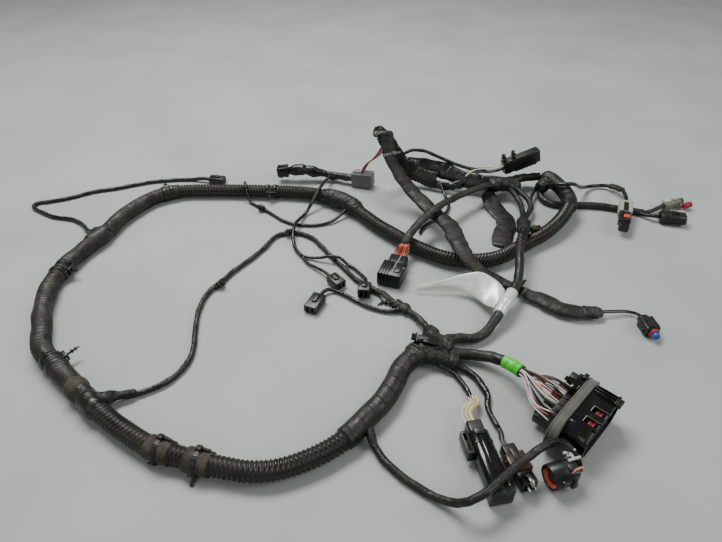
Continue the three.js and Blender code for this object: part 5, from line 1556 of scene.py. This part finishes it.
clip("clip_left", TRUNK, 0.554, 0.0122, 0.1, ["side_taped_trunk"], vinyl_tape, 18.0, 24.0)
clip("clip_upper_left", TRUNK, 0.752, 0.0122, 0.1, ["side_taped_trunk"], vinyl_tape, 12.0, 24.0)
clip("clip_corner", TRUNK, 0.994, 0.0122, math.pi - 0.3, ["side_taped_trunk"], vinyl_tape)
clip("clip_rear", TRUNK, 1.176, 0.0110, 0.1, ["rear_conduit"], vinyl_tape)
clip("clip_lead_b", LEAD_B, 0.268, 0.0034, 0.6, ["lead_b"], vinyl_tape, 9.0, 16.0)
clip("clip_lead_b_front", LEAD_B, 0.428, 0.0034, 0.9, ["lead_b"], vinyl_tape, 9.0, 14.0)
clip("clip_lead_e", LEAD_E, 0.072, 0.0026, 0.9, ["lead_e"], vinyl_tape, 9.0, 14.0)
fork_clip = frame_at(-6, -129, 27.5, 168, 3)
moulding(
    "clip_fork", fork_clip, ["fork_tape"],
    (box(26, 11, 6, -16, 0, 0, 0.9, 2), black_nylon),
    (box(12, 12.4, 4, -10, 0, 1.4, 0.8), black_nylon),
    (rod(12, 2.4, 10.5, 0, 1.4, sides=28), black_nylon),
    (rod(8.4, 5, 12, 0, 1.4, sides=28), glossy_nylon),
    (box(9, 13, 2.4, -15, 0, 1.6, 0.8), black_nylon),
    (box(20, 2, 1.6, -12, 3, 3.4, 0.4), black_nylon))
clip("clip_lead_b_end", LEAD_B, 0.655, 0.0044, -0.35, ["lead_b"], crumpled_tape, 12.0, 22.0)
print("clips: 9")

# %% [markdown]
# ## Bands and ties
# Two ladder ties over a turn of fleece tape hold the front conduit, and three small cable ties
# hold the flat strap. A tie could be a smooth ring with its rungs drawn on it, but the rungs are
# real bumps that catch the light. So they are small blocks, turned round the lead in a loop.

# %% Bands and ties
RUNGS = 34


def clamp_band(name, distance, has_tail):
    """A turn of brown tape, and a ladder tie with its locking head and its cut tail"""
    line = smooth_line(TRUNK, 0.0128)
    at, centres = walk(line, distance - 0.0135, distance + 0.0135, 0.0007)
    grown = 0.0127 * (0.97 + 0.03 * rounded_ends(at, 0.003))
    tape = sweep(name + "_tape", at, centres, grown, grown, 44,
                 uneven=0.030 * lumps(at, 44, len(name) + int(distance * 1000), 0.010))
    tape.data.materials.append(band_tape)
    centre, ahead, side = place_on(TRUNK, distance)
    turn = Matrix((ahead, -side, UP)).transposed().to_4x4()
    parts = [(ring(28.0, 25.6, 5.4, -2.7), black_nylon)]
    for i in range(RUNGS):
        rung = box(3.8, 1.3, 0.7, -1.9, 0, 14.1, 0.2)
        parts.append((turn_shape(rung, "X", i * 360 / RUNGS), black_nylon))
    head = [turn_shape(box(6.5, 6.5, 4.4, -3.2, 0, 15.4, 0.8), "X", 24),
            turn_shape(box(15, 3, 2, -12, 0, 14.8, 0.6), "X", 30)]
    foot = [turn_shape(box(8, 4, 2.4, -2, 0, 14.6, 0.6), "X", -112)]
    if has_tail:
        foot += [turn_shape(box(3.6, 1.3, 11, -1.8, 0, 18, 0.4), "X", -122)]
        teeth = [box(4.2, 2.2, 0.9, -2.1, 0, 16 + 2.2 * i, 0.2) for i in range(4)]
        foot += [turn_shape(tooth, "X", -122) for tooth in teeth]
    parts += [(shape, black_nylon) for shape in head + foot]
    tie = moulding(name + "_tie", Matrix.Translation(centre) @ turn, (), *parts)
    return joined(name + "_set", [tape, tie], [name])


clamp_band("clamp_band_1", 0.356, False)
clamp_band("clamp_band_2", 0.312, True)


def strap_tie(name, node, distance, width, material, wide, head_up=True, slack=0.0012):
    """A cable tie pulled round the flattened strap, with its head"""
    line = smooth_line(STRAP_FRONT, 0.00475)
    at, centres = walk(line, distance - width / 2, distance + width / 2, 0.0005)
    press = 0.93 + 0.07 * rounded_ends(at, 0.0012)
    tie = sweep(name, at, centres, (0.0043 + slack) * press, (wide + slack) * press, 44)
    tie.data.materials.append(material)
    centre, ahead, side = place_on(STRAP_FRONT, distance)
    normal = np.cross(side, ahead)
    turn = Matrix((ahead, side, normal)).transposed().to_4x4()
    lift = 6.6 if head_up else -6.6
    head = moulding(
        name + "_head", Matrix.Translation(centre) @ turn, (),
        (box(width * 1000 + 2, 7, 4, -width * 500 - 1, -6, lift, 0.8), material),
        (box(width * 1000 - 1, 10, 1.4, -width * 500 + 0.5, -13, lift - 1, 0.4), material))
    return joined(name + "_set", [tie, head], [node] if node else ())


strap_tie("strap_cable_tie", "strap_tie", 0.040, 0.0042, grey_nylon, 0.0112)
strap_tie("sleeve_cable_tie", "sleeve_tie", 0.392, 0.0045, black_nylon, 0.0075)
strap_tie("pale_cable_tie", "", 0.402, 0.0032, grey_nylon, 0.0078, False)
print("bands and ties: 5")

# %% [markdown]
# ## The label
# A silvery film is wrapped round one lead, and its free end curls away over the floor. Cloth
# could be let fall to get there, but this is stiff film that keeps its bend. So three smooth
# lines are drawn along it, the film is spread between them, and Solidify gives it its thickness.

# %% The label
wrap_at, wrap_centres = walk(smooth_line(LEAD_F, 0.00575), 0.124, 0.168, 0.0008)
wrap_radius = 0.0080 * (0.96 + 0.04 * rounded_ends(wrap_at, 0.0015))
wrap = sweep(
    "label_wrap_film", wrap_at, wrap_centres, wrap_radius * 0.98, wrap_radius, 40,
    uneven=0.035 * lumps(wrap_at, 40, 11, 0.02))
wrap.data.materials.append(silver_film)
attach(wrap, "root")
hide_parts("label_wrap")

LABEL_FLAG = [
    [(110.2, -32.8, 23), (101.2, -47.8, 22), (89.2, -63.8, 19)],
    [(99, -16, 29), (90, -30, 24), (78, -44, 12)],
    [(84, -6, 32), (77, -17, 24), (66, -24, 9)],
    [(62, -3, 29), (55, -12, 20), (48, -16, 8)],
    [(34, -6, 20), (31, -11, 14), (28, -13, 6)],
    [(-6, -8, 11), (-8, -10, 8), (-9, -12, 5)],
]
ALONG, ROWS = 72, 19  # squares along the film, and rows of points across it
columns = []
for column in range(3):
    line = smooth_line([row[column] for row in LABEL_FLAG], 0.002)
    columns.append(walk(line, step=distances(line)[-1] / ALONG)[1][:ALONG + 1])
far, middle, near = columns
film = []
for t in np.linspace(0, 1, ROWS):
    row = far * (1 - t) * (1 - 2 * t) + middle * 4 * t * (1 - t) + near * t * (2 * t - 1)
    film.append(row)
film = np.array(film)
along = np.linspace(0, 1, ALONG + 1)
wave = np.sin(along * 23 + np.linspace(0, 2, ROWS)[:, None])
film[..., 2] += 0.0010 * wave * (1 - along)
flag_mesh = bpy.data.meshes.new("label_flag_film")
quads = [
    (i + j, i + j + 1, i + ALONG + j + 2, i + ALONG + j + 1)
    for i in range(0, (ROWS - 1) * (ALONG + 1), ALONG + 1) for j in range(ALONG)
]
flag_mesh.from_pydata(film.reshape(-1, 3).tolist(), [], quads)
flag_mesh.materials.append(silver_film)
flag_mesh.polygons.foreach_set("use_smooth", [True] * len(flag_mesh.polygons))
flag_sheet = bpy.data.objects.new("flag_sheet", flag_mesh)
bpy.context.scene.collection.objects.link(flag_sheet)
thicken = flag_sheet.modifiers.new("thickness", "SOLIDIFY")
thicken.thickness = 0.0005
thicken.offset = 0.0
seen = flag_sheet.evaluated_get(bpy.context.evaluated_depsgraph_get())
flag = bpy.data.objects.new("label_flag_film", bpy.data.meshes.new_from_object(seen))
bpy.data.objects.remove(flag_sheet)
bpy.context.scene.collection.objects.link(flag)
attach(flag, "root")
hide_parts("label_flag")

# %% [markdown]
# ## Names of the finishes
# Whoever uses the part may want another tape or plastic. Pieces of the same real material share a
# finish name here, and the pieces whose first material has such a name are counted.

# %% Names of the finishes
FINISHES = {
    "conduit": [conduit], "cloth_tape": [cloth_tape, dusty_tape, crumpled_tape],
    "brown_tape": [brown_tape, band_tape, loose_tape], "vinyl_tape": [vinyl_tape],
    "green_tape": [green_tape], "black_nylon": [black_nylon, glossy_nylon],
    "grey_plastic": [grey_nylon, olive_nylon], "white_plastic": [pale_nylon, milky],
    "grey_rubber": [flange_rubber], "red_seal": [red_silicone, orange_silicone],
    "red_plastic": [red_nylon], "blue_plastic": [blue_nylon], "orange_plastic": [orange_nylon],
    "green_plastic": [green_nylon], "silver_film": [silver_film], "wire_mix": list(WIRES.values()),
}
slot_of = {material.name: slot for slot, made in FINISHES.items() for material in made}
dressed = 0
for piece in bpy.context.scene.objects:
    if piece.type == "MESH" and piece.data.materials and piece.data.materials[0].name in slot_of:
        dressed += 1
print("finishes named:", dressed)
